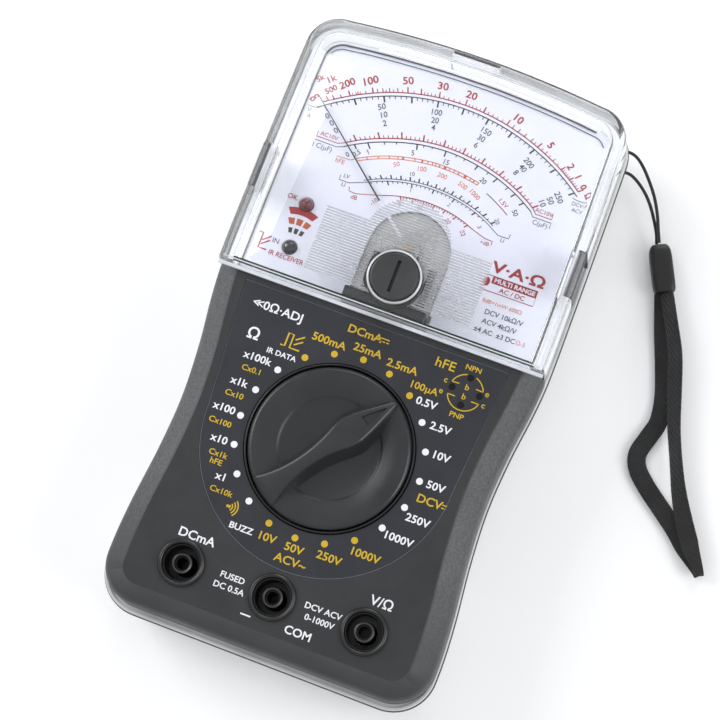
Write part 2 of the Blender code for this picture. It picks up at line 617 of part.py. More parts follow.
# ---------------------------------------------------------------- build
def main():
    clear_scene()
    dark = material("dark_case", (0.055, 0.058, 0.062), 0.55)
    grey = material("rear_grey", (0.62, 0.64, 0.66), 0.5)
    clear = material("clear_cover", (0.9, 0.92, 0.95), 0.08, 0.0, 0.2)
    label = material("label_film", (0.045, 0.046, 0.06), 0.45)
    knob = material("knob_plastic", (0.03, 0.03, 0.032), 0.4)
    black = material("black_plastic", (0.012, 0.012, 0.013), 0.4)
    lug = material("lug_grey", (0.08, 0.08, 0.09), 0.5)
    steel = material("steel", (0.6, 0.6, 0.6), 0.3, 1.0)
    brass = material("brass", (0.75, 0.58, 0.3), 0.3, 1.0)
    copper = material("copper", (0.7, 0.32, 0.15), 0.35, 1.0)
    iron = material("magnet_iron", (0.25, 0.25, 0.26), 0.5, 1.0)
    white = material("dial_white", (0.85, 0.86, 0.9), 0.5)
    red = material("led_red", (0.6, 0.02, 0.03), 0.15)
    green = material("board_green", (0.03, 0.18, 0.06), 0.5)
    glass = material("fuse_glass", (0.8, 0.85, 0.85), 0.05, 0.0, 0.35)
    jacket = material("cell_jacket", (0.1, 0.15, 0.3), 0.3)
    fabric = material("lanyard_fabric", (0.01, 0.01, 0.011), 0.9)
    rear_case(grey)
    front_case(dark)
    panel_label(label)
    meter_cover(clear)
    cover_lugs(lug)
    knob_bezel(black)
    range_knob(knob)
    switch_parts(brass, knob, steel)
    jacks(black, steel)
    hfe_socket(black)
    adjusters(dark, black)
    dial_plate(white)
    indicators(red, black)
    needle(black)
    movement(steel, copper, iron, brass)
    board_parts(green, glass, steel, dark)
    battery_parts(jacket, steel, grey, steel)
    case_screws(steel)
    cord("lanyard_cord", CORD_ROUTE, fabric)
    bead(black)
    webbing(fabric)


main()
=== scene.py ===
import math

import bmesh
import bpy
from mathutils import Matrix, Vector


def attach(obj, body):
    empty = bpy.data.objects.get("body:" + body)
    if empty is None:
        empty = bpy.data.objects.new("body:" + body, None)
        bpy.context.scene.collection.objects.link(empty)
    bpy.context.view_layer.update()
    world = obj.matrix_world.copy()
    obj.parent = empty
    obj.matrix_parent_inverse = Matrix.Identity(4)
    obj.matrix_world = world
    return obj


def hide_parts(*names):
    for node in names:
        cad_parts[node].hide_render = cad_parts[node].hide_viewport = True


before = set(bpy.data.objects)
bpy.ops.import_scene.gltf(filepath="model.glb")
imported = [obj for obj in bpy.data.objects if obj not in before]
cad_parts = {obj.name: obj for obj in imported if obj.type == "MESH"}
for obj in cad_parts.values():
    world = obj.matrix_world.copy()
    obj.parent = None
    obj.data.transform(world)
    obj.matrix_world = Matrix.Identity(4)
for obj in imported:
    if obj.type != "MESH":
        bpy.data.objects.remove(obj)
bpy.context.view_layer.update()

MM = 0.001
SIDE_TABLE = ((-92.0, 48.8), (-78.0, 49.6), (-64.0, 49.0), (-46.0, 47.2), (-30.0, 46.5),
              (-14.0, 47.5), (0.0, 49.3), (10.0, 50.1), (30.0, 50.2), (60.0, 50.0), (92.0, 49.6))
SPLIT_Z, PANEL_Z, COVER_Z, DIAL_Z = 20.5, 34.0, 40.0, 28.0
LABEL_Z = 33.85
CASE_Y = (-92.5, 92.76)
LOW_CORNER, TOP_CORNER, TOP_ARCH, ARCH_HALF = 12.0, 11.0, 2.4, 39.0
# height and length bounds of the painted sheen on the case sides and bevel
SHEEN_BEVEL_Z, SHEEN_BEVEL_Y = (0.0329, 0.0338), (-0.088, -0.050)
SCREW_XY = ((-40.0, -79.0), (40.0, -79.0), (-40.0, -14.0), (40.0, -14.0))
KNOB_XY = (0.0, -30.5)
GRIP_TURN = math.radians(36)
BEZEL_R = 24.2
JACK_XY = ((-27.3, -75.1), (0.0, -75.1), (27.3, -75.1))
JACKS = ("current", "common", "volts")
HFE_XY = (30.3, -2.1)
ZERO_XY = (0.45, 20.8)
OHM_XY = (-40.9, -1.8)
PIVOT = (0.3, 31.8)
ARC_CY = 10.5
NEEDLE_REST = math.radians(50)
LED_XY = (-32.9, 34.7)
INK_HALF, CAP_HEIGHT, ARC_SPREAD, TICK_SPREAD = 0.02, 0.70, 0.05, 0.07
IR_XY = (-32.9, 21.1)


# ------------------------------------------------------------ node materials
class Nodes:
    """Short way to build a node tree around one Principled shader."""

    def __init__(self, name):
        self.mat = bpy.data.materials.new(name)
        self.mat.use_nodes = True
        self.tree = self.mat.node_tree
        self.shader = self.tree.nodes["Principled BSDF"]
        self.out = self.tree.nodes["Material Output"]
        self.coord = self.add("ShaderNodeTexCoord").outputs["Object"]

    def add(self, kind, **settings):
        node = self.tree.nodes.new(kind)
        for key, value in settings.items():
            setattr(node, key, value)
        return node

    def link(self, a, b):
        self.tree.links.new(a, b)

    def noise(self, scale, detail=4.0, rough=0.6, stretch=None):
        tex = self.add("ShaderNodeTexNoise")
        tex.inputs["Scale"].default_value = scale
        tex.inputs["Detail"].default_value = detail
        tex.inputs["Roughness"].default_value = rough
        source = self.coord
        if stretch:
            mapping = self.add("ShaderNodeMapping")
            mapping.inputs["Scale"].default_value = stretch
            self.link(source, mapping.inputs["Vector"])
            source = mapping.outputs["Vector"]
        self.link(source, tex.inputs["Vector"])
        return tex.outputs["Fac"]

    def ramp(self, fac, stops):
        node = self.add("ShaderNodeValToRGB")
        elements = node.color_ramp.elements
        while len(elements) < len(stops):
            elements.new(0.5)
        for element, (pos, color) in zip(elements, stops):
            element.position = pos
            element.color = (*color, 1.0) if len(color) == 3 else color
        self.link(fac, node.inputs["Fac"])
        return node.outputs["Color"]

    def mapped(self, fac, lo, hi, a=0.3, b=0.7):
        node = self.add("ShaderNodeMapRange")
        for key, value in zip(("From Min", "From Max", "To Min", "To Max"), (a, b, lo, hi)):
            node.inputs[key].default_value = value
        self.link(fac, node.inputs["Value"])
        return node.outputs["Result"]

    def mix(self, fac, a, b):
        node = self.add("ShaderNodeMix", data_type="RGBA")
        self.link(fac, node.inputs[0])
        for socket, value in ((node.inputs[6], a), (node.inputs[7], b)):
            if isinstance(value, tuple):
                socket.default_value = (*value, 1.0)
            else:
                self.link(value, socket)
        return node.outputs[2]

    def bump(self, height, strength, distance, normal=None):
        node = self.add("ShaderNodeBump")
        node.inputs["Strength"].default_value = strength
        node.inputs["Distance"].default_value = distance
        self.link(height, node.inputs["Height"])
        if normal:
            self.link(normal, node.inputs["Normal"])
        return node.outputs["Normal"]

    def put(self, socket, value):
        target = self.shader.inputs[socket]
        if isinstance(value, (int, float)):
            target.default_value = value
        else:
            self.link(value, target)


def shade(color, k):
    return tuple(min(c * k, 1.0) for c in color)


def plastic(name, color, rough=(0.42, 0.58), grain=1500.0, bump=0.25, depth=0.00012, vary=0.16,
            coat=0.0, scuff=0.10):
    """Moulded plastic: blotchy tone, grain bump, rubbed patches and fine scuffs."""
    n = Nodes(name)
    blotch = n.noise(45.0, 5.0, 0.65)
    tone = n.ramp(blotch, ((0.3, shade(color, 1 - vary)), (0.7, shade(color, 1 + vary))))
    scratch = n.mapped(n.noise(260.0, 3.0, 0.7, (1.0, 0.06, 1.0)), 0.0, scuff, 0.62, 0.75)
    tone = n.mix(scratch, tone, shade(color, 1.9) if max(color) < 0.4 else shade(color, 0.75))
    n.put("Base Color", tone)
    n.put("Roughness", n.mapped(n.noise(90.0, 4.0, 0.6), rough[0], rough[1]))
    if coat:
        n.put("Coat Weight", coat)
    fine = n.noise(grain, 2.0, 0.5)
    wide = n.bump(n.noise(25.0, 2.0, 0.5), 0.10, 0.0004)
    n.link(n.bump(fine, bump, depth, wide), n.shader.inputs["Normal"])
    return n.mat


def paint(name, color, vary=0.15):
    """Printed ink."""
    return plastic("m_ink_" + name, color, (0.4, 0.6), 3000.0, 0.2, 0.00004, vary)


def metal(name, color, rough=(0.2, 0.38)):
    n = Nodes(name)
    brushed = (1.0, 1.0, 30.0)
    tone = n.ramp(n.noise(70.0, 5.0, 0.7), ((0.3, shade(color, 0.8)), (0.7, shade(color, 1.1))))
    spots = n.mapped(n.noise(420.0, 4.0, 0.7), 0.0, 0.5, 0.62, 0.78)
    n.put("Base Color", n.mix(spots, tone, shade(color, 0.55)))
    n.put("Metallic", 1.0)
    n.put("Roughness", n.mapped(n.noise(180.0, 3.0, 0.6, brushed), rough[0], rough[1]))
    n.link(n.bump(n.noise(900.0, 2.0, 0.5, brushed), 0.2, 0.00008), n.shader.inputs["Normal"])
    return n.mat


def woven(name, color, pitch=2400.0):
    """Tight black weave: crossed waves for the threads, with lint-grey variation."""
    n = Nodes(name)
    waves = []
    for turn in (45.0, -45.0):
        mapping = n.add("ShaderNodeMapping")
        mapping.inputs["Rotation"].default_value = (0.3, 0.2, math.radians(turn))
        n.link(n.coord, mapping.inputs["Vector"])
        wave = n.add("ShaderNodeTexWave")
        wave.inputs["Scale"].default_value = pitch / 6.2
        wave.inputs["Distortion"].default_value = 0.6
        n.link(mapping.outputs["Vector"], wave.inputs["Vector"])
        waves.append(wave.outputs["Fac"])
    both = n.add("ShaderNodeMath", operation="MAXIMUM")
    n.link(waves[0], both.inputs[0])
    n.link(waves[1], both.inputs[1])
    tone = n.ramp(both.outputs[0], ((0.2, shade(color, 0.5)), (0.9, shade(color, 1.8))))
    lint = n.mapped(n.noise(600.0, 4.0, 0.7), 0.0, 0.35, 0.55, 0.75)
    n.put("Base Color", n.mix(lint, tone, shade(color, 3.5)))
    n.put("Roughness", n.mapped(n.noise(120.0), 0.75, 0.95))
    n.put("Sheen Weight", 0.25)
    n.link(n.bump(both.outputs[0], 0.7, 0.00025), n.shader.inputs["Normal"])
    return n.mat


def clear(name, tint=(0.985, 0.99, 1.0)):
    """Clear moulding: refracts for the camera, lets lamp light straight through."""
    n = Nodes(name)
    haze = n.noise(60.0, 4.0, 0.6)
    n.put("Base Color", n.ramp(haze, ((0.3, shade(tint, 0.975)), (0.7, tint))))
    n.put("Roughness", n.mapped(n.noise(300.0, 3.0), 0.0, 0.03, 0.45, 0.8))
    n.put("Transmission Weight", 1.0)
    n.put("IOR", 1.42)
    n.link(n.bump(n.noise(20.0, 1.0), 0.03, 0.0003), n.shader.inputs["Normal"])
    path = n.add("ShaderNodeLightPath")
    through = n.add("ShaderNodeBsdfTransparent")
    through.inputs["Color"].default_value = (0.93, 0.94, 0.96, 1.0)
    mix = n.add("ShaderNodeMixShader")
    n.link(path.outputs["Is Shadow Ray"], mix.inputs[0])
    n.link(n.shader.outputs[0], mix.inputs[1])
    n.link(through.outputs[0], mix.inputs[2])
    n.link(mix.outputs[0], n.out.inputs["Surface"])
    return n.mat


def case_plastic():
    """Dark grained case plastic; below the flat face the grain is painted lighter as a sheen, fading
    out towards the bottom end.
    """
    n = Nodes("m_case")
    dark, light = (0.017, 0.019, 0.0205), (0.024, 0.026, 0.028)
    tone = n.ramp(n.noise(45.0, 5.0, 0.65), ((0.3, dark), (0.7, light)))
    grain = n.noise(1500.0, 2.0, 0.6)
    speck = n.ramp(grain, ((0.35, (0.045, 0.048, 0.050)), (0.7, (0.090, 0.095, 0.100))))
    split = n.add("ShaderNodeSeparateXYZ")
    n.link(n.coord, split.inputs[0])
    side = n.mapped(split.outputs["Z"], 1.0, 0.0, *SHEEN_BEVEL_Z)
    end = n.mapped(split.outputs["Y"], 0.0, 1.0, *SHEEN_BEVEL_Y)
    both = n.add("ShaderNodeMath", operation="MULTIPLY")
    n.link(side, both.inputs[0])
    n.link(end, both.inputs[1])
    # painted sheen: lighter grain below the flat face, fading out towards the bottom end
    n.put("Base Color", n.mix(both.outputs[0], tone, speck))
    n.put("Roughness", n.mapped(n.noise(90.0, 4.0, 0.6), 0.40, 0.56))
    n.link(n.bump(grain, 0.35, 0.00014), n.shader.inputs["Normal"])
    return n.mat


def rib_material():
    """Half see-through grey for the moulded ribs of the window."""
    n = Nodes("m_ribs")
    tone = n.ramp(n.noise(80.0), ((0.3, (0.40, 0.40, 0.42)), (0.7, (0.52, 0.52, 0.54))))
    n.put("Base Color", tone)
    n.put("Roughness", n.mapped(n.noise(200.0), 0.2, 0.4))
    n.put("Alpha", 0.42)
    n.link(n.bump(n.noise(500.0), 0.1, 0.0001), n.shader.inputs["Normal"])
    return n.mat


M = {
    "case": case_plastic(),
    "ribs": rib_material(),
    "tray": plastic("m_tray", (0.74, 0.75, 0.77), (0.4, 0.55), 1800.0, 0.15),
    "rear": plastic("m_rear", (0.60, 0.615, 0.62), (0.35, 0.5), 1800.0, 0.2),
    "label": plastic("m_label", (0.017, 0.018, 0.024), (0.38, 0.5), 2200.0, 0.12, 0.00006),
    "knob": plastic("m_knob", (0.021, 0.022, 0.024), (0.24, 0.38), 2000.0, 0.25, 0.00008, 0.2),
    "black": plastic("m_black", (0.012, 0.012, 0.013), (0.25, 0.45), 1700.0, 0.2),
    "screwhead": plastic("m_screwhead", (0.035, 0.037, 0.037), (0.3, 0.46), 1500.0, 0.4, 0.0001),
    "lug": plastic("m_lug", (0.06, 0.062, 0.068), (0.4, 0.55)),
    "dial": plastic("m_dial", (0.69, 0.70, 0.785), (0.5, 0.65), 900.0, 0.08, 0.00005, 0.025,
                    scuff=0.02),
    "white": paint("white", (0.80, 0.80, 0.84), 0.06),
    "yellow": paint("yellow", (0.56, 0.37, 0.012), 0.1),
    "ink": paint("black", (0.022, 0.022, 0.028), 0.2),
    "inkgrey": paint("grey", (0.07, 0.075, 0.09), 0.2),
    "red": paint("red", (0.31, 0.004, 0.008)),
    "brick": paint("brick", (0.32, 0.030, 0.012)),
    "rust": paint("rust", (0.42, 0.07, 0.012)),
    "orange": paint("orange", (0.60, 0.15, 0.055)),
    "led": plastic("m_led", (0.12, 0.002, 0.003), (0.05, 0.12), 800.0, 0.05, coat=0.8),
    "eye": plastic("m_eye", (0.012, 0.012, 0.018), (0.05, 0.15), 800.0, 0.05, coat=0.6),
    "board": plastic("m_board", (0.02, 0.14, 0.05), (0.25, 0.4), 600.0, 0.3),
    "jacket": plastic("m_jacket", (0.05, 0.09, 0.22), (0.2, 0.35), 400.0, 0.1),
    "rim": plastic("m_line", (0.13, 0.135, 0.16), (0.4, 0.6), 3000.0, 0.1),
    "steel": metal("m_steel", (0.62, 0.62, 0.63)),
    "frame": metal("m_frame", (0.55, 0.54, 0.52), (0.35, 0.55)),
    "brass": metal("m_brass", (0.72, 0.55, 0.28)),
    "copper": metal("m_copper", (0.70, 0.33, 0.17), (0.3, 0.45)),
    "iron": metal("m_iron", (0.26, 0.26, 0.27), (0.4, 0.6)),
    "jackmetal": metal("m_jack", (0.09, 0.09, 0.085), (0.25, 0.4)),
    "web": woven("m_webbing", (0.006, 0.006, 0.0065)),
    "cord": woven("m_cord", (0.012, 0.012, 0.013), 4200.0),
    "bead": plastic("m_bead", (0.006, 0.006, 0.0065), (0.35, 0.5), 1600.0, 0.25),
    "pit": plastic("m_pit", (0.002, 0.002, 0.002), (0.9, 1.0), 900.0, 0.05, scuff=0.0),
    # glossy light grey for painted highlights on the edges of the clear cover
    "frost": plastic("m_frost", (0.62, 0.63, 0.66), (0.15, 0.3), 800.0, 0.1, coat=0.4),
    # dark ink for painted shade lines: along the cover's inner wall and round the rear case
    "edge": plastic("m_edge", (0.06, 0.06, 0.065), (0.2, 0.35), 900.0, 0.1),
    "clear": clear("m_clear"),
    "fuse": clear("m_fuse", (0.9, 0.95, 0.95)),
}


# ------------------------------------------------------------ shape helpers
def make(name, verts, faces, mat, slot, body="case_body", smooth=True, angle=32.0, replaces=()):
    """Link one closed mesh in millimetres as a piece, riding its body; slot is not used."""
    mesh = bpy.data.meshes.new(name)
    mesh.from_pydata([tuple(c * MM for c in v) for v in verts], [], faces)
    bm = bmesh.new()
    bm.from_mesh(mesh)
    bmesh.ops.remove_doubles(bm, verts=bm.verts, dist=1e-7)
    bmesh.ops.recalc_face_normals(bm, faces=bm.faces)
    bm.to_mesh(mesh)
    bm.free()
    obj = bpy.data.objects.new(name, mesh)
    bpy.context.collection.objects.link(obj)
    mesh.materials.append(M[mat])
    if smooth:
        mesh.shade_smooth()
        mesh.set_sharp_from_angle(angle=math.radians(angle))
    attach(obj, body)
    if replaces:
        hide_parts(*replaces)
    return obj


def loft(rings, cap=True):
    n = len(rings[0])
    verts = [v for ring in rings for v in ring]
    faces = [tuple(range(n)), tuple(range(len(verts) - n, len(verts)))] if cap else []
    for k in range(len(rings) - 1):
        for i in range(n):
            j = (i + 1) % n
            faces.append((k * n + i, k * n + j, (k + 1) * n + j, (k + 1) * n + i))
    return verts, faces


def lathe(profile, centre, seg=64):
    verts, faces, index = [], [], []
    for r, z in profile:
        if r == 0:
            index.append([len(verts)] * seg)
            verts.append((centre[0], centre[1], z))
            continue
        index.append(list(range(len(verts), len(verts) + seg)))
        for i in range(seg):
            a = 2 * math.pi * i / seg
            verts.append((centre[0] + r * math.cos(a), centre[1] + r * math.sin(a), z))
    count = len(profile) if profile[0][0] > 0 else len(profile) - 1
    for k in range(count):
        a, b = index[k], index[(k + 1) % len(profile)]
        for i in range(seg):
            j = (i + 1) % seg
            quad = []
            for v in (a[i], a[j], b[j], b[i]):
                if v not in quad:
                    quad.append(v)
            faces.append(tuple(quad))
    return verts, faces


def disc(r, z0, z1, centre, seg=48):
    return lathe([(0, z0), (r, z0), (r, z1), (0, z1)], centre, seg)


def prism(points, z0, z1):
    return loft([[(x, y, z0) for x, y in points], [(x, y, z1) for x, y in points]])


def box(x0, x1, y0, y1, z0, z1):
    return prism([(x0, y0), (x1, y0), (x1, y1), (x0, y1)], z0, z1)


def merged(*solids):
    verts, faces = [], []
    for v, f in solids:
        base = len(verts)
        verts.extend(v)
        faces.extend(tuple(i + base for i in face) for face in f)
    return verts, faces


def boolean(obj, operation, *solids):
    """Apply one Boolean step at once, so no cutter is left in the scene."""
    verts, faces = merged(*solids)
    mesh = bpy.data.meshes.new("cutter")
    mesh.from_pydata([tuple(c * MM for c in v) for v in verts], [], faces)
    bm = bmesh.new()
    bm.from_mesh(mesh)
    bmesh.ops.recalc_face_normals(bm, faces=bm.faces)
    bm.to_mesh(mesh)
    bm.free()
    tool = bpy.data.objects.new("cutter", mesh)
    bpy.context.collection.objects.link(tool)
    mod = obj.modifiers.new("cut", "BOOLEAN")
    mod.operation, mod.solver, mod.object = operation, "EXACT", tool
    deps = bpy.context.evaluated_depsgraph_get()
    result = bpy.data.meshes.new_from_object(obj.evaluated_get(deps))
    obj.modifiers.clear()
    old = obj.data
    obj.data = result
    bpy.data.meshes.remove(old)
    bpy.data.objects.remove(tool, do_unlink=True)
    bpy.data.meshes.remove(mesh)
    result.shade_smooth()
    result.set_sharp_from_angle(angle=math.radians(32))


def half_width(y):
    """Half the case width at y, as a smooth curve through SIDE_TABLE."""
    table = SIDE_TABLE
    if y <= table[0][0]:
        return table[0][1]
    for k, ((ya, wa), (yb, wb)) in enumerate(zip(table, table[1:])):
        if y <= yb:
            before = table[max(k - 1, 0)]
            after = table[min(k + 2, len(table) - 1)]
            t = (y - ya) / (yb - ya)
            ma = (wb - before[1]) / (yb - before[0]) * (yb - ya)
            mb = (after[1] - wa) / (after[0] - ya) * (yb - ya)
            h = t * t * (3 - 2 * t)
            return wa + (wb - wa) * h + ma * t * (1 - t) ** 2 - mb * t * t * (1 - t)
    return table[-1][1]


def outline(y0, y1, inset, r_low, r_top, arch, n_side=44, n_arc=14, y_inset=None, least=1.5):
    """Plan of the case from y0 to y1, drawn in by inset, with its corner radii and top arch."""
    drop = inset if y_inset is None else y_inset
    low, high = y0 + (drop if r_low else 0), y1 - (inset if r_top else 0)
    rl = max(r_low - inset, least) if r_low else 0.0
    rt = max(r_top - inset, least) if r_top else 0.0
    right = []
    if rl:
        side = half_width(low + rl) - inset
        for i in range(n_arc):
            a = math.radians(-90 + 90 * i / n_arc)
            right.append((side - rl + rl * math.cos(a), low + rl + rl * math.sin(a)))
    crown = half_width(high - rt) - inset - rt
    sag = arch * (crown / ARCH_HALF) ** 2
    ya, yb = low + rl, high - rt - sag
    for i in range(n_side + 1):
        y = ya + (yb - ya) * i / n_side
        right.append((half_width(y) - inset, y))
    if rt:
        side = half_width(yb) - inset
        for i in range(1, n_arc + 1):
            a = math.radians(90 * i / n_arc)
            right.append((side - rt + rt * math.cos(a), yb + rt * math.sin(a)))
        for k in (0.85, 0.7, 0.55, 0.4, 0.25, 0.1):
            right.append((crown * k, high - arch * (crown * k / ARCH_HALF) ** 2))
    return right + [(-x, y) for x, y in reversed(right)]


def at(points, z):
    return [(x, y, z) for x, y in points]


def label_outline(grow=0.0):
    """Plan of the printed label: straight along the top, round about the knob below."""
    cx, cy = KNOB_XY
    r = 36.6 + grow
    steps = 64
    points = [(39.8 + grow, 6.8 + grow), (-39.8 - grow, 6.8 + grow)]
    for i in range(steps + 1):
        a = math.radians(180 + 180 * i / steps)
        points.append((cx + r * math.cos(a), cy + r * math.sin(a)))
    return points


# ------------------------------------------------------------ printed marks
class Ink:
    """Collects thin closed solids by ink and level, and makes one piece for each."""

    def __init__(self):
        self.parts = {}

    def add(self, key, solid):
        verts, faces = self.parts.setdefault(key, ([], []))
        base = len(verts)
        verts.extend(solid[0])
        faces.extend(tuple(i + base for i in face) for face in solid[1])

    def text(self, key, body, x, y, size, angle=0.0, z=0.0, bold=0.0, squeeze=1.0):
        curve = bpy.data.curves.new("text", "FONT")
        curve.body = body
        curve.align_x = "CENTER"
        curve.align_y = "CENTER"
        curve.size = size / CAP_HEIGHT
        curve.extrude = INK_HALF
        curve.offset = bold
        curve.resolution_u = 3
        obj = bpy.data.objects.new("text", curve)
        bpy.context.collection.objects.link(obj)
        deps = bpy.context.evaluated_depsgraph_get()
        mesh = obj.evaluated_get(deps).to_mesh()
        bm = bmesh.new()
        bm.from_mesh(mesh)
        bmesh.ops.remove_doubles(bm, verts=bm.verts, dist=1e-5)
        spin = Matrix.Translation((x, y, z)) @ Matrix.Rotation(math.radians(angle), 4, "Z")
        spin = spin @ Matrix.Diagonal((squeeze, 1.0, 1.0, 1.0))
        bm.transform(spin)
        bm.verts.index_update()
        verts = [tuple(v.co) for v in bm.verts]
        faces = [tuple(v.index for v in f.verts) for f in bm.faces]
        bm.free()
        self.add(key, (verts, faces))
        bpy.data.objects.remove(obj, do_unlink=True)
        bpy.data.curves.remove(curve)

    def ribbon(self, key, points, width, z, closed=False):
        """A thin closed strip along a plan polyline."""
        n = len(points)
        left, right = [], []
        for i, (x, y) in enumerate(points):
            a = points[(i - 1) % n] if closed or i else points[0]
            b = points[(i + 1) % n] if closed or i < n - 1 else points[-1]
            t = Vector((b[0] - a[0], b[1] - a[1])).normalized()
            left.append((x - t.y * width / 2, y + t.x * width / 2))
            right.append((x + t.y * width / 2, y - t.x * width / 2))
        verts = []
        for zz in (z - INK_HALF, z + INK_HALF):
            verts += [(*p, zz) for p in left] + [(*p, zz) for p in right]
        faces = []
        span = n if closed else n - 1
        for i in range(span):
            j = (i + 1) % n
            faces += [(i, j, n + j, n + i), (2 * n + i, 3 * n + i, 3 * n + j, 2 * n + j),
                      (i, 2 * n + i, 2 * n + j, j), (n + i, n + j, 3 * n + j, 3 * n + i)]
        if not closed:
            faces += [(0, n, 3 * n, 2 * n), (n - 1, 3 * n - 1, 4 * n - 1, 2 * n - 1)]
        self.add(key, (verts, faces))

    def line(self, key, a, b, width, z):
        self.ribbon(key, [a, b], width, z)

    def dot(self, key, x, y, r, z):
        self.add(key, disc(r, z - INK_HALF, z + INK_HALF, (x, y), 24))

    def flush(self, slots):
        for (name, mat), (verts, faces) in self.parts.items():
            make("%s_%s" % (name, mat), verts, faces, mat, slots[name], smooth=False)


ink = Ink()


def polar(theta, r):
    """Point on the dial at an angle from upright about the needle pivot."""
    a = math.radians(theta)
    return PIVOT[0] + r * math.sin(a), PIVOT[1] + r * math.cos(a)


def reach(theta, radius):
    """Distance from the pivot to a scale arc, whose own centre sits below the pivot."""
    gap = PIVOT[1] - ARC_CY
    c = math.cos(math.radians(theta))
    return -gap * c + math.sqrt((gap * c) ** 2 - gap * gap + radius * radius)


def arc(mat, radius, a0, a1, width, level, steps=70):
    points = []
    for i in range(steps + 1):
        theta = a0 + (a1 - a0) * i / steps
        points.append(polar(theta, reach(theta, radius)))
    ink.ribbon(("dial", mat), points, width + ARC_SPREAD, level)
    return points


def tick(mat, theta, radius, length, width, level):
    r = reach(theta, radius)
    ink.line(("dial", mat), polar(theta, r), polar(theta, r + length), width + TICK_SPREAD, level)


def note(mat, body, x, y, size, z, bold=0.0, squeeze=1.0):
    """Level dial text."""
    ink.text(("dial", mat), body, x, y, size, 0, z, bold, squeeze)


def rim_text(mat, body, x, y, size, z, bold=0.0, squeeze=1.0):
    """Dial text set square to the line from the needle pivot."""
    theta = math.degrees(math.atan2(x - PIVOT[0], y - PIVOT[1]))
    ink.text(("dial", mat), body, x, y, size, -theta, z, bold, squeeze)


def rule(mat, points, width, z, closed=False):
    """Dial line."""
    ink.ribbon(("dial", mat), points, width, z, closed)


# ------------------------------------------------------------ case shells
def rear_case():
    def ring(inset, z):
        return at(outline(*CASE_Y, inset, LOW_CORNER, TOP_CORNER, TOP_ARCH), z)

    obj = make("rear_shell", *loft([ring(2.2, 2.4), ring(1.7, SPLIT_Z - 0.6), ring(0.4, SPLIT_Z - 0.6),
                                    ring(0.4, SPLIT_Z), ring(-0.2, SPLIT_Z), ring(-0.45, 20.2),
                                    ring(-0.5, 19.8), ring(0.35, 7.0), ring(0.9, 4.2),
                                    ring(1.8, 1.9), ring(3.0, 0.6), ring(4.2, 0.0)]),
               "rear", "rear_grey", replaces=("rear_case",))
    for xy in SCREW_XY:
        boolean(obj, "UNION", lathe([(1.8, 2.0), (5.0, 2.0), (5.0, 7.0), (1.8, 7.0)], xy, 32))
    boolean(obj, "DIFFERENCE", *[disc(1.8, -1, 9, xy, 24) for xy in SCREW_XY],
            box(-27, 27, 55, 84.6, -1, 5))
    boolean(obj, "DIFFERENCE", *[disc(3.5, -1, 4, xy, 32) for xy in SCREW_XY],
            box(-4.5, 4.5, 46, 50.2, -1, 1.0))
    grooves = [box(-30, 30, -60 + 4 * k, -59.2 + 4 * k, -1, 0.5) for k in range(10)]
    boolean(obj, "DIFFERENCE", *grooves)
    holes = []
    for y in (87.0, 81.0):
        rings = [[(x, y + 1.5 * math.cos(t), 9 + 1.5 * math.sin(t))
                  for t in (2 * math.pi * i / 20 for i in range(20))] for x in (42, 54)]
        holes.append(loft(rings))
    boolean(obj, "DIFFERENCE", *holes)
    tray = []
    for args in ((-30.2, 30.2, 52.4, 53.6), (-30.2, 30.2, 85.8, 87.0), (-30.2, -29.0, 53.7, 85.7),
                 (29.0, 30.2, 53.7, 85.7)):
        tray.append(box(*args, 2.6, 17.0))
    make("cell_tray", *merged(*tray), "rear", "rear_grey", smooth=False)


def front_case():
    def ring(inset, z, y_inset=None, least=1.5):
        plan = outline(-91.0, 9.5, inset, LOW_CORNER, 0.0, 0.0, y_inset=y_inset, least=least)
        return at(plan, z)

    inner = outline(-91.0, 7.3, 2.6, LOW_CORNER, 0.0, 0.0)
    high = outline(-91.0, 7.3, 7.2, LOW_CORNER, 0.0, 0.0)
    obj = make("front_shell", *loft([at(high, 31.8), at(inner, 27.0), at(inner, 20.8),
                                     ring(0.25, 20.8), ring(0.0, 21.1), ring(0.3, 26.4),
                                     ring(0.55, 27.6), ring(1.0, 28.6), ring(1.7, 29.5),
                                     ring(6.5, 33.3, 5.6, 4.0), ring(6.65, 33.8, 5.75, 3.9),
                                     ring(6.85, PANEL_Z, 5.95, 3.7)]),
               "case", "dark_case", angle=22, replaces=("front_case",))
    boolean(obj, "DIFFERENCE", disc(BEZEL_R + 0.25, 30, 36, KNOB_XY, 128),
            disc(5.7, 30, 33, HFE_XY, 32), *[disc(6.3, 30, 36, xy, 64) for xy in JACK_XY],
            box(-53.0, -43.0, -10.6, 7.0, 20.0, 24.9))
    boolean(obj, "DIFFERENCE", prism(label_outline(0.3), 33.4, 36.0))
    posts = [lathe([(1.8, 7.3), (3.0, 7.3), (3.0, 31.7), (1.8, 31.7)], xy, 24) for xy in SCREW_XY]
    make("screw_posts", *merged(*posts), "case", "dark_case")


def hfe_points():
    return [(HFE_XY[0] + 4.1 * math.cos(math.radians(a)), HFE_XY[1] + 4.1 * math.sin(math.radians(a)))
            for a in (0, 90, 180, 270)]


def label():
    obj = make("label_film", *prism(label_outline(), 33.45, LABEL_Z), "label", "label_film",
               replaces=("panel_label",))
    boolean(obj, "DIFFERENCE", disc(BEZEL_R + 0.3, 33, 35, KNOB_XY, 128),
            *[disc(1.0, 33, 35, xy, 20) for xy in hfe_points()])
    edge = label_outline(0.12)
    ink.ribbon(("panel", "rim"), edge, 0.16, LABEL_Z + 0.02, closed=True)


def window_plan(low, high, inset, **counts):
    """Plan of the meter window: square at its lower edge, arched along its top."""
    return outline(low, high, inset, 0.0, TOP_CORNER, TOP_ARCH, **counts)


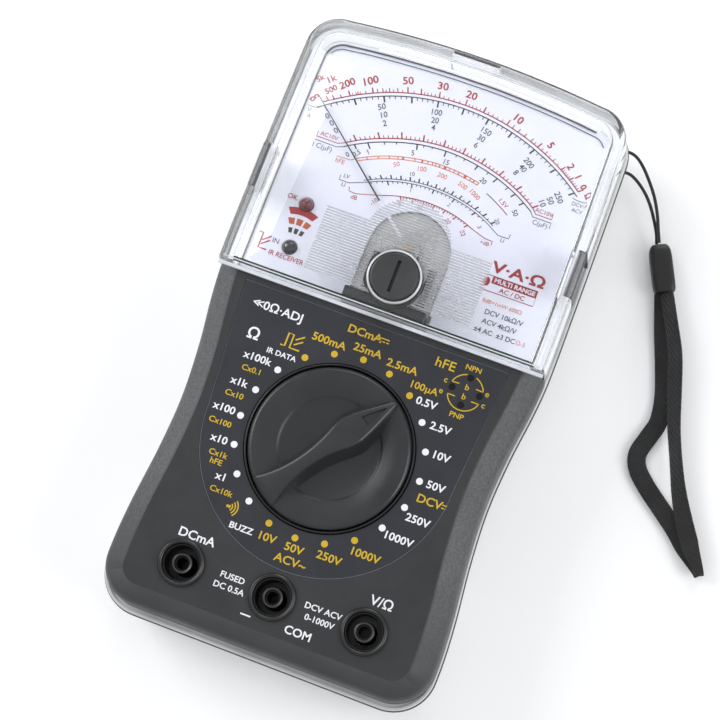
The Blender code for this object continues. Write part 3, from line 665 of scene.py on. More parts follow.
def meter_cover():
    def ring(inset, z):
        return at(window_plan(9.8, 92.0, inset), z)

    def inner(inset, z):
        return at(window_plan(11.4, 92.0, inset), z)

    obj = make("cover_shell", *loft([inner(5.9, 37.7), inner(5.5, 37.5), inner(5.2, 37.0),
                                     inner(4.6, 28.5), inner(2.4, 28.0), inner(2.2, 20.8),
                                     ring(0.0, 20.8), ring(0.35, 27.0), ring(0.9, 36.2),
                                     ring(1.15, 38.2), ring(1.6, 39.3), ring(2.3, 39.8),
                                     ring(3.1, COVER_Z)]),
               "clear", "clear_cover", replaces=("meter_cover",), angle=25)
    boolean(obj, "DIFFERENCE", disc(7.2, 36, 42, ZERO_XY, 96),
            box(-54, -46.6, 32.2, 46.3, 19, 38.4), box(46.6, 54, 32.2, 46.3, 19, 38.4),
            box(-7.3, 7.3, 88.9, 94, 19, 38.4))
    # painted highlight: the lip below the cover and the ring round the zero hole are glossy light grey
    make("cover_lip", *box(-49.2, 49.2, 8.7, 9.7, 34.1, 35.3), "frost", "clear_cover", smooth=False)
    boss = [(7.3, 40.0), (7.3, 40.4), (7.5, 40.5), (7.7, 40.4), (7.9, 40.0)]
    make("zero_boss", *lathe([(r, z + 0.02) for r, z in boss], ZERO_XY, 96), "frost", "clear_cover")
    # painted shade: dark ribbons on the dial along the inner wall of the cover, on the left and along
    # the top
    left = [p for p in window_plan(11.4, 92.0, 5.55) if p[0] < 0.5 or 60.0 < p[1] and p[0] < 39.5]
    upper = [p for p in window_plan(11.4, 91.6, 6.5) if p[1] > 80.0]
    for points, width in ((left, 0.55), (upper, 0.28)):
        ink.ribbon(("cover", "edge"), points, width, 28.3)
    # painted highlight along the lower edge of the cover's top
    ink.line(("cover", "frost"), (-47.6, 10.35), (47.6, 10.35), 0.35, COVER_Z + 0.02)
    # painted shadow: a dark ribbon standing out round the case just below the split
    shadow_ring = [at(outline(*CASE_Y, inset, LOW_CORNER, TOP_CORNER, TOP_ARCH), z) for inset, z in
            ((-0.3, 17.4), (-0.46, 18.6), (-0.85, 18.5), (-0.85, 17.5), (-0.3, 17.4))]
    make("rear_painted_shadow_line", *loft(shadow_ring, cap=False), "edge", "rear_grey")
    make("cover_ribs", *merged(*window_ribs()), "ribs", "clear_cover", smooth=False)


def window_ribs():
    """Fine ribs under the window, in a band with a dome over the needle pivot."""
    pitch, band_half, band_top, dome_r, zero_gap_r = 0.82, 25.0, 34.8, 12.6, 8.9
    ribs = []
    y = 15.2
    while y < PIVOT[1] + 12.2:
        above = y - PIVOT[1]
        dome = math.sqrt(max(dome_r ** 2 - above * above, 0.0)) if above > 0 else 0.0
        half = max(band_half if y < band_top else 0.0, dome)
        spans = [(-half, half)]
        gap_square = zero_gap_r ** 2 - (y - ZERO_XY[1]) ** 2
        if gap_square > 0:
            gap = math.sqrt(gap_square)
            spans = [(-half, ZERO_XY[0] - gap), (ZERO_XY[0] + gap, half)]
        profile = [(y - 0.3, 37.66), (y - 0.17, 37.42), (y, 37.34), (y + 0.17, 37.42),
                   (y + 0.3, 37.66)]
        for a, b in spans:
            if b - a > 1.0:
                ribs.append(loft([[(x, p, z) for p, z in profile] for x in (a, b)]))
        y += pitch
    return ribs


def rounded_box(name, x0, x1, y0, y1, z0, z1, r, mat, replaces):
    rings = []
    for inset, z in ((r, z0), (0, z0 + r), (0, z1 - r), (r * 0.3, z1 - r * 0.3), (r, z1)):
        ring = []
        for cx, cy, a0 in ((x1, y1, 0), (x0, y1, 90), (x0, y0, 180), (x1, y0, 270)):
            for i in range(4):
                a = math.radians(a0 + 30 * i)
                sx = cx - (1 if cx == x1 else -1) * r + (r - inset) * math.cos(a)
                sy = cy - (1 if cy == y1 else -1) * r + (r - inset) * math.sin(a)
                ring.append((sx, sy, z))
        rings.append(ring)
    make(name, *loft(rings), mat, "lug_grey", replaces=(replaces,))


def lugs():
    rounded_box("lug_left", -49.2, -46.9, 32.5, 46.0, 31.0, 38.0, 0.3, "lug", "cover_lug_left")
    rounded_box("lug_right", 46.9, 49.2, 32.5, 46.0, 31.0, 38.0, 0.3, "lug", "cover_lug_right")
    rounded_box("lug_top", -7.0, 7.0, 89.4, 90.7, 36.4, 38.2, 0.3, "lug", "cover_lug_top")
    rounded_box("foot_block", -12.6, 12.2, 12.0, 15.0, 24.0, 34.8, 0.4, "black", "dial_foot")


# ------------------------------------------------------------ range switch
def bezel():
    r = BEZEL_R
    profile = [(r, 28.3), (r, 34.2), (r - 0.12, 34.45), (r - 0.35, 34.5), (r - 0.55, 34.35),
               (r - 0.62, 34.0), (r - 0.62, 29.8), (4.6, 29.8), (4.6, 28.3)]
    make("bezel_ring", *lathe(profile, KNOB_XY, 128), "black", "black_plastic",
         replaces=("knob_bezel",))


def knob_surface(r):
    """Height of the dished disc at radius r."""
    rim = 35.25
    if r > 21.9:
        t = (r - 21.9) / 1.2
        return rim - 0.9 * t * t
    if r > 20.4:
        return rim
    t = max(min((20.4 - r) / 9.0, 1.0), 0.0)
    step = 0.28 * max(min((15.0 - r) / 0.5, 1.0), 0.0)
    return rim - 1.9 * t * t * (3 - 2 * t) - step


def knob():
    radii = [0, 4, 8, 10, 11.5, 13, 14.3, 14.5, 15.0, 15.2, 16, 17.5, 18.6, 19.5, 20.1, 20.5, 21.0,
             21.5, 21.9, 22.2, 22.5, 22.8, 23.0, 23.1]
    profile = [(r, knob_surface(r)) for r in radii] + [(23.1, 30.8), (22.8, 30.3), (0, 30.2)]
    verts, faces = lathe(profile, KNOB_XY, 160)
    obj = make("knob_disc", verts, faces, "knob", "knob_plastic", "knob_body",
               replaces=("range_knob",))
    stations = ((-22.6, 4.6, 35.0), (-21.5, 4.5, 35.9), (-19.5, 3.7, 36.6), (-16.5, 2.8, 37.5),
                (-13.0, 2.1, 38.4), (-9.0, 1.75, 39.2), (-5.0, 1.8, 39.9), (-1.5, 2.2, 40.2),
                (1.5, 2.8, 40.3), (4.5, 3.6, 40.2), (7.5, 4.05, 39.9), (10.0, 3.75, 39.5),
                (13.4, 3.0, 38.8), (17.0, 2.05, 38.0), (20.0, 1.2, 37.2), (22.2, 0.6, 36.5),
                (22.9, 0.25, 35.9))
    c, s = math.cos(-GRIP_TURN), math.sin(-GRIP_TURN)
    dense = []
    for k in range(len(stations) - 1):
        p0, p1 = stations[max(k - 1, 0)], stations[k]
        p2, p3 = stations[k + 1], stations[min(k + 2, len(stations) - 1)]
        for j in range(4):
            t = j / 4
            dense.append([0.5 * (2 * b + (d - a) * t + (2 * a - 5 * b + 4 * d - e) * t * t
                                 + (3 * b - a - 3 * d + e) * t ** 3)
                          for a, b, d, e in zip(p0, p1, p2, p3)])
    dense.append(list(stations[-1]))
    rings = []
    for along, w, top in dense:
        foot = 32.6
        drop = top - foot
        flare = min(2.4, 0.35 * drop + 0.3) * (1.0 if w > 0.9 else 0.6)
        section = [(w + flare, foot), (w + flare * 0.62, foot + drop * 0.35),
                   (w + flare * 0.30, foot + drop * 0.75), (w + 0.2, top - 0.5),
                   (max(w - 0.05, 0.04), top - 0.22), (max(w - 0.35, 0.03), top - 0.05),
                   (max(w - 0.6, 0.02), top)]
        section = section + [(-x, z) for x, z in reversed(section)]
        rings.append([(KNOB_XY[0] + x * c - along * s, KNOB_XY[1] + x * s + along * c, z)
                      for x, z in section])
    boolean(obj, "UNION", loft(rings))
    local = [(0.0, 20.6), (-1.25, 15.6), (-1.9, 11.6), (1.7, 11.6), (1.1, 15.6)]
    tool = []
    for z, k in ((37.2, 0.75), (41.5, 1.15)):
        ring = []
        for x, y in local:
            x, y = x * k, 15.5 + (y - 15.5) * k
            ring.append((KNOB_XY[0] + x * c - y * s, KNOB_XY[1] + x * s + y * c, z))
        tool.append(ring)
    boolean(obj, "DIFFERENCE", loft([[(x, y, knob_slot(x, y, z)) for x, y, z in ring]
                                     for ring in tool]))


def knob_slot(x, y, z):
    """The pointer recess follows the falling top of the grip."""
    along = (x - KNOB_XY[0]) * math.sin(GRIP_TURN) + (y - KNOB_XY[1]) * math.cos(GRIP_TURN)
    top = 39.3 - (along - 11.6) * 0.24
    return top - 0.7 if z < 38 else top + 2.0


# ------------------------------------------------------------ jacks, adjusters
def jacks():
    for name, (x, y) in zip(JACKS, JACK_XY):
        sleeve = [(6.75, 33.9), (6.7, 34.5), (6.45, 34.85), (6.15, 35.0), (5.85, 34.95), (5.6, 34.75),
                  (5.45, 34.3), (5.25, 24.0), (3.3, 24.0), (3.3, 22.0), (5.9, 22.0), (5.9, 33.9)]
        make("sleeve_" + name, *lathe(sleeve, (x, y), 64), "black", "black_plastic",
             replaces=("jack_sleeve_" + name,))
        liner = [(5.15, 24.1), (5.3, 33.2), (5.05, 33.2), (4.95, 24.1)]
        make("liner_" + name, *lathe(liner, (x, y), 64), "black", "black_plastic")
        tube = [(0, 17.4), (3.0, 17.4), (3.0, 32.2), (2.85, 32.5), (2.6, 32.6), (2.25, 32.5),
                (2.05, 32.2), (2.05, 18.6), (0, 18.6)]
        # painted shade: a black cup lining the bore of the metal contact
        shade_lining = [(0, 18.7), (1.98, 18.7), (1.98, 31.6), (1.8, 31.6), (1.8, 18.9), (0, 18.9)]
        make("painted_bore_shade_" + name, *lathe(shade_lining, (x, y), 40), "black", "black_plastic")
        make("contact_" + name, *lathe(tube, (x, y), 48), "jackmetal", "steel",
             replaces=("jack_" + name,))


def zero_screw():
    r = 6.9
    profile = [(0, 35.2), (8.2, 35.2), (8.2, 37.2), (r, 37.2), (r, 40.7), (r - 0.12, 40.95),
               (r - 0.4, 41.05), (r - 0.8, 40.95), (0, 40.9)]
    obj = make("zero_head", *lathe(profile, ZERO_XY, 96), "screwhead", "dark_case", "zero_body",
               replaces=("zero_adjust_screw",))
    x, y = ZERO_XY
    boolean(obj, "DIFFERENCE", box(x - 0.5, x + 0.5, y - 4.8, y + 4.8, 39.3, 43.0))


def ohm_wheel():
    rim = []
    for i in range(240):
        phase = (i % 5) / 5
        r = 8.3 - 0.5 * (phase in (0.0, 0.2))
        a = 2 * math.pi * i / 240
        rim.append((OHM_XY[0] + r * math.cos(a), OHM_XY[1] + r * math.sin(a)))
    small = [(OHM_XY[0] + (x - OHM_XY[0]) * 0.96, OHM_XY[1] + (y - OHM_XY[1]) * 0.96) for x, y in rim]
    make("thumb_wheel", *loft([at(small, 21.3), at(rim, 21.6), at(rim, 24.1), at(small, 24.4)]),
         "black", "black_plastic", "ohm_body", replaces=("ohm_adjust_wheel",))


# ------------------------------------------------------------ dial
def dial_plate():
    cx, cy = PIVOT
    notch = [(cx - 13.2, 11.65), (cx - 13.2, 15.6), (cx - 12.35, 16.0), (cx - 12.35, cy - 1.0)]
    for i in range(0, 49):
        a = math.radians(180 - 180 * i / 48)
        notch.append((cx + 12.1 * math.cos(a), cy + 12.1 * math.sin(a)))
    notch += [(cx + 12.35, cy - 1.0), (cx + 12.35, 16.0), (cx + 13.2, 15.6), (cx + 13.2, 11.65)]
    edge = window_plan(11.65, 92.0, 5.3, n_side=12, n_arc=12)
    obj = make("dial_card", *prism(notch + edge, DIAL_Z - 0.8, DIAL_Z), "dial", "dial_white",
               smooth=False, replaces=("dial_plate",))
    boolean(obj, "DIFFERENCE", *[disc(2.35, 25, 30, xy, 48) for xy in (LED_XY, IR_XY)])
    tray = make("dial_tray", *prism(window_plan(11.5, 92.0, 2.7), 26.3, 26.9), "tray", "dial_white",
                smooth=False)
    boolean(tray, "DIFFERENCE", *[disc(2.6, 25, 30, xy, 48) for xy in (LED_XY, IR_XY)])
    boolean(tray, "DIFFERENCE", disc(12.6, 25, 30, PIVOT, 64))
    boolean(tray, "DIFFERENCE", box(cx - 13.4, cx + 13.4, 10.0, cy, 25, 30))
    bed = [(cx + 11.9 * math.cos(math.radians(a)), cy + 11.8 * math.sin(math.radians(a)))
           for a in range(180, -1, -5)]
    bed = bed + [(cx + 11.9, 15.6), (cx - 11.9, 15.6)]
    plate = make("movement_bed", *prism(bed, 26.1, 26.7), "frame", "steel", smooth=False)
    boolean(plate, "DIFFERENCE", disc(3.2, 25, 28, PIVOT, 32),
            box(cx - 9.8, cx - 7.4, 17.5, 29.0, 25, 28), box(cx + 7.4, cx + 9.8, 17.5, 29.0, 25, 28))


def scale_one(z):
    """Upper scale: ohms outside in red, the linear scale inside in black."""
    arc("red", 67.95, -50, 50, 0.26, z)
    arc("ink", 66.85, -52.5, 51.5, 0.26, z)
    for k in range(51):
        theta = -50 + 2 * k
        if k % 5 == 0:
            tick("ink", theta, 66.85, -1.9, 0.42, z)
        else:
            tick("ink", theta, 66.85, -0.95, 0.17, z)
    marks = {0: 1.7, 1: 1.5, 2: 1.6, 3: 1.1, 4: 1.1, 5: 1.8, 6: 1.2, 7: 1.2, 8: 1.2, 9: 1.2, 10: 1.8,
             15: 1.8, 20: 1.8, 30: 1.8, 40: 1.7, 50: 1.8, 60: 1.3, 70: 1.3, 80: 1.3, 90: 1.2,
             100: 1.7, 150: 1.0, 200: 1.7, 300: 1.0, 500: 1.5, 1000: 1.6}
    for ohms, length in marks.items():
        tick("red", -50 + 2000.0 / (20.0 + ohms), 67.95, length, 0.30 if length > 1.4 else 0.2, z)
    fine = [v / 5 for v in range(1, 10)] + [2.5, 3.5, 4.5, 5.5] + [11, 12, 13, 14, 16, 17, 18, 19]
    fine += [22, 24, 26, 28, 32, 34, 36, 38, 45, 55, 65, 75, 120, 140, 160, 180]
    for ohms in fine:
        tick("red", -50 + 2000.0 / (20.0 + ohms), 67.95, 0.85, 0.14, z)
    for body, x, y, size in (("50", -18.3, 79.7, 2.2), ("30", -7.9, 81.7, 2.2),
                             ("20", 1.07, 81.9, 2.2), ("10", 16.4, 79.9, 2.1),
                             ("5", 28.1, 75.8, 2.0), ("2", 35.7, 71.7, 2.0),
                             ("1", 38.8, 69.6, 1.9), ("0", 41.3, 67.2, 1.7),
                             ("100", -28.9, 75.9, 2.1), ("200", -34.9, 73.0, 2.0),
                             ("1k", -39.9, 72.7, 1.9), ("500", -38.7, 69.8, 1.6),
                             ("5k", -43.0, 71.9, 1.5), ("∞", -42.4, 65.9, 2.2),
                             ("Ω", 43.5, 64.9, 1.7)):
        rim_text("brick", body, x, y, size * 1.08, z, 0.07, 1.02)
    for body, x, y in (("0", -36.8, 61.9), ("0", -34.8, 60.3), ("0", -32.8, 58.6),
                       ("50", -22.8, 69.8), ("10", -21.4, 67.7), ("2", -20.1, 65.5),
                       ("100", -7.1, 73.5), ("20", -6.6, 71.1), ("4", -6.3, 68.9),
                       ("150", 8.7, 73.1), ("30", 8.15, 70.7), ("6", 7.4, 68.3),
                       ("200", 23.9, 68.5), ("40", 22.8, 66.4), ("8", 21.3, 64.5),
                       ("250", 35.6, 61.7), ("50", 33.6, 60.0), ("10", 31.6, 58.5)):
        rim_text("inkgrey", body, x, y, 1.75, z, 0.03, 0.96)
    rule("inkgrey", [(-43.6, 63.2), (-41.2, 63.2), (-39.4, 64.2)], 0.2, z)
    note("inkgrey", "V", -42.6, 61.9, 1.3, z)
    note("inkgrey", "A", -42.0, 60.1, 1.3, z)
    rule("inkgrey", [(39.4, 63.0), (41.2, 62.8), (44.0, 62.8)], 0.2, z)
    note("inkgrey", "DCV·A", 42.2, 61.5, 1.15, z)
    note("inkgrey", "ACV", 42.0, 59.7, 1.15, z)


def scale_two(z):
    """Second scale: AC 10 V outside in red, capacitance inside in black."""
    red = arc("red", 54.25, -50.5, 50.5, 0.26, z)
    black = arc("ink", 53.15, -51.5, 51.5, 0.26, z)
    rule("red", [red[0], (-30.9, 55.2), (-37.7, 55.2), (-37.7, 56.8)], 0.24, z)
    rule("inkgrey", [black[0], (-30.9, 54.1), (-37.7, 54.1)], 0.24, z)
    rule("red", [red[-1], (31.0, 54.75), (35.9, 54.75), (35.9, 56.2)], 0.24, z)
    rule("inkgrey", [black[-1], (30.4, 53.7), (36.2, 53.7), (36.2, 52.0)], 0.24, z)
    ink.line(("dial", "inkgrey"), (-37.7, 53.3), (-37.7, 51.9), 0.2, z)
    for k in range(3, 51):
        v = k / 5
        theta = -50 + 100 * (0.106 * v - 0.06)
        if theta < -49.5:
            continue
        big = k % 5 == 0
        tick("red", theta, 54.25, 1.9 if big else 0.95, 0.36 if big else 0.17, z)
    farad = {-47.0: 1.5, -40.8: 2.0, -33.0: 0.9, -27.0: 0.7, -16.5: 1.7, -13.0: 0.7, -8.5: 0.6,
             -1.0: 1.7, 5.0: 0.7, 9.8: 0.8, 17.5: 1.5, 24.0: 0.9, 29.5: 1.7, 36.5: 1.2, 41.0: 1.6,
             46.5: 1.6}
    for theta, length in farad.items():
        tick("ink", theta, 53.15, -length, 0.34 if length > 1.3 else 0.2, z)
    for body, x, y in (("0", -27.0, 53.0), ("0.5", -24.6, 54.3), ("1", -21.6, 55.8),
                       ("5", -9.1, 60.0), ("15", 0.9, 60.6), ("20", 13.1, 58.9), ("50", 25.1, 53.0)):
        rim_text("inkgrey", body, x, y, 1.5, z, 0.025, 0.95)
    note("red", "AC10V", -34.1, 56.4, 1.3, z)
    note("inkgrey", "C(µF)", -34.3, 52.6, 1.5, z)
    note("red", "AC10V", 33.2, 56.0, 1.3, z)
    note("inkgrey", "C(µF)", 33.2, 52.3, 1.4, z)


def scale_three(z):
    """Orange double line for transistor gain."""
    for radius in (48.9, 48.1):
        arc("orange", radius, -49.5, 24.5, 0.2, z, 50)
    for theta, fat in ((24.5, 0.2), (-44, 0.2), (-38, 0.2), (-32, 0.2), (-27, 0.2), (-24.0, 0.5),
                       (-17, 0.2), (-12.5, 0.5), (-9, 0.2), (-6, 0.2), (-4, 0.2), (-1.5, 0.3),
                       (2.0, 0.7), (5, 0.2), (8, 0.2), (11, 0.3), (15.5, 0.8), (19, 0.2), (21.5, 0.3)):
        tick("orange", theta, 48.1, 0.85, fat, z)
    for body, x, y in (("50", -12.4, 55.2), ("100", -5.0, 56.4), ("200", 1.4, 56.5),
                       ("500", 8.0, 55.7), ("1000", 12.2, 54.3)):
        rim_text("orange", body, x, y, 1.4, z)
    rule("orange", [(-29.8, 51.6), (-25.6, 51.8), (-23.6, 53.2)], 0.2, z)
    note("orange", "hFE", -28.4, 50.4, 1.4, z)
    rule("inkgrey", [(15.5, 55.7), (17.3, 54.9), (19.2, 53.9)], 0.26, z)
    rule("red", [(19.2, 53.9), (21.3, 52.8), (23.2, 51.7)], 0.26, z)
    ink.text(("dial", "red"), "1.5V", 20.9, 54.6, 1.3, -28, z)


def scale_four(z):
    """Black double line with ticks on both sides."""
    arc("ink", 42.0, -52, 52.5, 0.17, z, 60)
    low = arc("ink", 41.3, -52, 52.5, 0.17, z, 60)
    for k in range(29):
        theta = -47.5 + 3.5 * k
        if theta < 51:
            tick("ink", theta, 42.0, 1.25 if k % 2 == 0 else 0.6, 0.34 if k % 2 == 0 else 0.17, z)
    for k in range(26):
        theta = -48.5 + 3.8 * k
        fat = (k - 3) % 5 == 0
        tick("ink", theta, 41.3, -1.3 if fat else -0.65, 0.34 if fat else 0.17, z)
    for body, x, y in (("10", -7.1, 54.0), ("20", 21.1, 48.9), ("1", -5.7, 49.3), ("2", 6.4, 48.9),
                       ("3", 16.9, 45.6)):
        rim_text("inkgrey", body, x, y, 1.25, z)
    rule("inkgrey", [(-26.7, 46.6), (-26.7, 45.2), (-23.6, 45.2), low[0]], 0.22, z)
    note("inkgrey", "LV", -24.9, 46.8, 1.2, z)
    note("inkgrey", "LI", -24.9, 44.1, 1.2, z)
    rule("inkgrey", [low[-1], (22.9, 45.2), (26.2, 45.2), (26.2, 46.6)], 0.22, z)
    note("inkgrey", "LI", 24.6, 44.1, 1.2, z)


def scale_five(z):
    """Red decibel scale."""
    red = arc("red", 37.0, -46, 49, 0.22, z, 50)
    for k in range(25):
        theta = -29 + 3.1 * k
        if theta < 46:
            tick("red", theta, 37.0, -1.3 if k % 4 == 0 else -0.6, 0.3 if k % 4 == 0 else 0.16, z)
    for body, x, y in (("-10", -14.6, 42.4), ("0", -7.3, 44.2), ("10", -1.4, 45.2), ("20", 7.8, 44.1),
                       ("22", 13.0, 42.2)):
        rim_text("red", body, x, y, 1.3, z)
    rule("red", [(-23.0, 44.2), (-22.7, 43.0), (-20.6, 42.8), red[0]], 0.22, z)
    note("red", "dB", -20.6, 41.6, 1.3, z)
    rule("red", [red[-1], (19.6, 43.0), (22.0, 42.9), (22.0, 41.6)], 0.22, z)
    note("red", "+dB", 20.0, 41.6, 1.2, z)


def fan_segment(mat, y, span, depth, z, marks=0):
    """One arched block of the receiver symbol, split by slanted gaps."""
    cx = LED_XY[0]
    edges = [-span, -span * 0.34, span * 0.34, span] if marks else [-span, span]
    for a, b in zip(edges, edges[1:]):
        outer, inner = [], []
        for i in range(7):
            t = a + (b - a) * i / 6
            t = t + (0.35 if i == 0 and marks else 0.0) - (0.35 if i == 6 and marks else 0.0)
            sag = 0.045 * t * t
            outer.append((cx + t, y - sag))
            inner.append((cx + t * (1.0 - 0.25 * depth / 2), y - depth - sag * 0.6))
        ink.add(("dial", mat), prism(outer + inner[::-1], z - INK_HALF, z + INK_HALF))


def dial_marks(z):
    fan_segment("red", 33.4, 4.7, 2.2, z)
    fan_segment("rust", 30.0, 4.0, 1.9, z, 1)
    fan_segment("ink", 27.0, 2.9, 1.6, z, 1)
    note("red", "OK", -37.6, 35.6, 1.5, z, 0.02)
    note("ink", "IN", -37.4, 21.5, 1.5, z)
    note("red", "IR RECEIVER", -32.8, 17.8, 1.5, z, 0.02, 0.95)
    x, y = -41.0, 20.4
    rule("red", [(x - 1.9, y + 2.3), (x - 0.7, y + 2.3), (x - 0.7, y - 2.3), (x + 1.9, y - 2.3)],
         0.45, z)
    for k in (0.0, 1.3):
        rule("red", [(x - 0.3, y - 1.2 + k), (x + 2.0, y + 0.7 + k)], 0.4, z)
    note("red", "V·A·Ω", 32.8, 35.9, 3.2, z, 0.12, 1.4)
    ink.add(("dial", "red"), box(26.0, 39.7, 31.1, 33.3, z - INK_HALF, z + INK_HALF))
    note("dial", "MULTI RANGE", 32.9, 32.2, 1.3, z + 0.03, 0.05, 1.05)
    rule("red", [(23.4, 28.6), (39.7, 28.6), (39.7, 33.3), (23.4, 33.3)], 0.25, z, closed=True)
    note("red", "AC / DC", 32.9, 29.8, 1.35, z, 0.03, 1.1)
    ink.add(("dial", "red"), prism([(24.6 + 1.0 * math.cos(math.radians(a)),
                                     31.2 + 1.4 * math.sin(math.radians(a)))
                                    for a in range(0, 360, 20)], z - INK_HALF, z + INK_HALF))
    note("orange", "0dB=1mW 600Ω", 31.4, 25.6, 1.2, z)
    note("inkgrey", "DCV 10kΩ/V", 33.0, 22.6, 1.5, z, 0.03)
    note("inkgrey", "ACV 4kΩ/V", 32.6, 19.8, 1.5, z, 0.03)
    note("inkgrey", "±4 AC  ±3 DC", 32.2, 17.0, 1.45, z, 0.03)
    note("orange", "Ω-5", 40.2, 17.0, 1.3, z)


def indicators():
    led = [(0, 22.0), (2.2, 22.0), (2.2, 28.05), (2.1, 28.3), (1.85, 29.1), (1.35, 29.9),
           (0.7, 30.35), (0, 30.5)]
    make("led_lens", *lathe(led, LED_XY, 48), "led", "led_red", replaces=("status_led",))
    eye = [(0, 22.0), (2.2, 22.0), (2.2, 28.05), (2.05, 28.4), (1.6, 29.0), (0.9, 29.4), (0, 29.5)]
    make("ir_lens", *lathe(eye, IR_XY, 48), "eye", "black_plastic", replaces=("ir_receiver",))


def needle():
    c, s = math.cos(NEEDLE_REST), math.sin(NEEDLE_REST)

    def turn(points, z0, z1):
        return prism([(PIVOT[0] + x * c - y * s, PIVOT[1] + x * s + y * c) for x, y in points], z0, z1)

    blade = [(0.25, 17.0), (0.17, 40.0), (0.11, 54.2), (-0.11, 54.2), (-0.17, 40.0), (-0.25, 17.0)]
    make("needle_blade", *turn(blade, 28.95, 29.2), "ink", "black_plastic", "needle_body",
         smooth=False, replaces=("needle",))
    root = [(0.55, 1.5), (0.32, 17.3), (-0.32, 17.3), (-0.55, 1.5)]
    tail = [(0.7, -1.4), (0.5, -8.0), (-0.5, -8.0), (-0.7, -1.4)]
    hub = lathe([(0.75, 28.7), (2.0, 28.7), (2.0, 29.3), (1.7, 29.5), (0.75, 29.5)], PIVOT, 40)
    make("needle_root", *merged(turn(root, 28.9, 29.25), turn(tail, 28.9, 29.25), hub), "dial",
         "black_plastic", "needle_body")


# ------------------------------------------------------------ panel print
def panel_marks(z, low):
    for k in range(20):
        a = math.radians(90 - 18 * k)
        x, y = KNOB_XY[0] + 27 * math.cos(a), KNOB_XY[1] + 27 * math.sin(a)
        mat = "yellow" if k in (0, 1, 2, 8, 9, 10, 11, 18, 19) else "white"
        ink.dot(("panel", mat), x, y, 0.98, z)
    for rows, level, grow, heavier, squeeze in ((PANEL_TEXT, z, 1.12, 0.03, 1.08),
                                                (JACK_TEXT, low, 1.1, 0.02, 1.04)):
        for mat, body, x, y, size, bold in rows:
            ink.text(("panel", mat), body, x, y, size * grow, 0, level, bold + heavier, squeeze)
    ink.line(("panel", "white"), (-6.7, -82.3), (-3.7, -82.3), 0.42, low)
    for x0, y0 in ((2.1, 3.65), (35.3, -35.0)):
        ink.line(("panel", "yellow"), (x0, y0 + 0.5), (x0 + 3.0, y0 + 0.5), 0.32, z)
        for k in range(3):
            ink.line(("panel", "yellow"), (x0 + 1.1 * k, y0 - 0.4), (x0 + 1.1 * k + 0.8, y0 - 0.4),
                     0.32, z)
    x, y = -21.0, -5.5
    ink.ribbon(("panel", "yellow"), [(x - 2.9, y - 1.9), (x - 1.6, y - 1.9), (x - 1.6, y + 2.0),
                                     (x - 0.1, y + 2.0), (x - 0.1, y - 2.0), (x + 2.9, y - 2.0)],
               0.5, z)
    for k in range(2):
        ink.ribbon(("panel", "yellow"), [(x + 0.8, y - 0.8 + 1.5 * k), (x + 3.1, y + 0.8 + 1.5 * k)],
                   0.42, z)
    bx, by = -20.9, -55.7
    for k, r in enumerate((0.55, 1.3, 2.1, 2.9)):
        span = range(-48, 49, 8)
        pts = [(bx + r * math.cos(math.radians(a)), by + r * math.sin(math.radians(a))) for a in span]
        ink.ribbon(("panel", "yellow"), pts, 0.36 if k else 0.5, z)
    ink.dot(("panel", "yellow"), bx - 0.1, by, 0.42, z)
    hx, hy = HFE_XY
    # painted shade: a black matte dot sunk in each socket hole of the label
    for x, y in hfe_points():
        ink.dot(("panel", "pit"), x, y, 0.97, z - 0.12)
    for a0, a1, drop in ((18, 72, 0.0), (104, 162, 0.0), (198, 342, 0.7)):
        turn = [math.radians(a0 + (a1 - a0) * i / 24) for i in range(25)]
        pts = [(hx + 4.9 * math.cos(a), hy - drop + 4.9 * math.sin(a)) for a in turn]
        ink.ribbon(("panel", "yellow"), pts, 0.32, z)
    for way in (-1, 1):
        ink.line(("panel", "yellow"), (hx + way * 4.7, hy + 1.5), (hx + way * 2.5, hy + 1.6), 0.3, z)
        ink.line(("panel", "yellow"), (hx + way * 4.7, hy - 2.2), (hx + way * 2.4, hy - 2.2), 0.3, z)


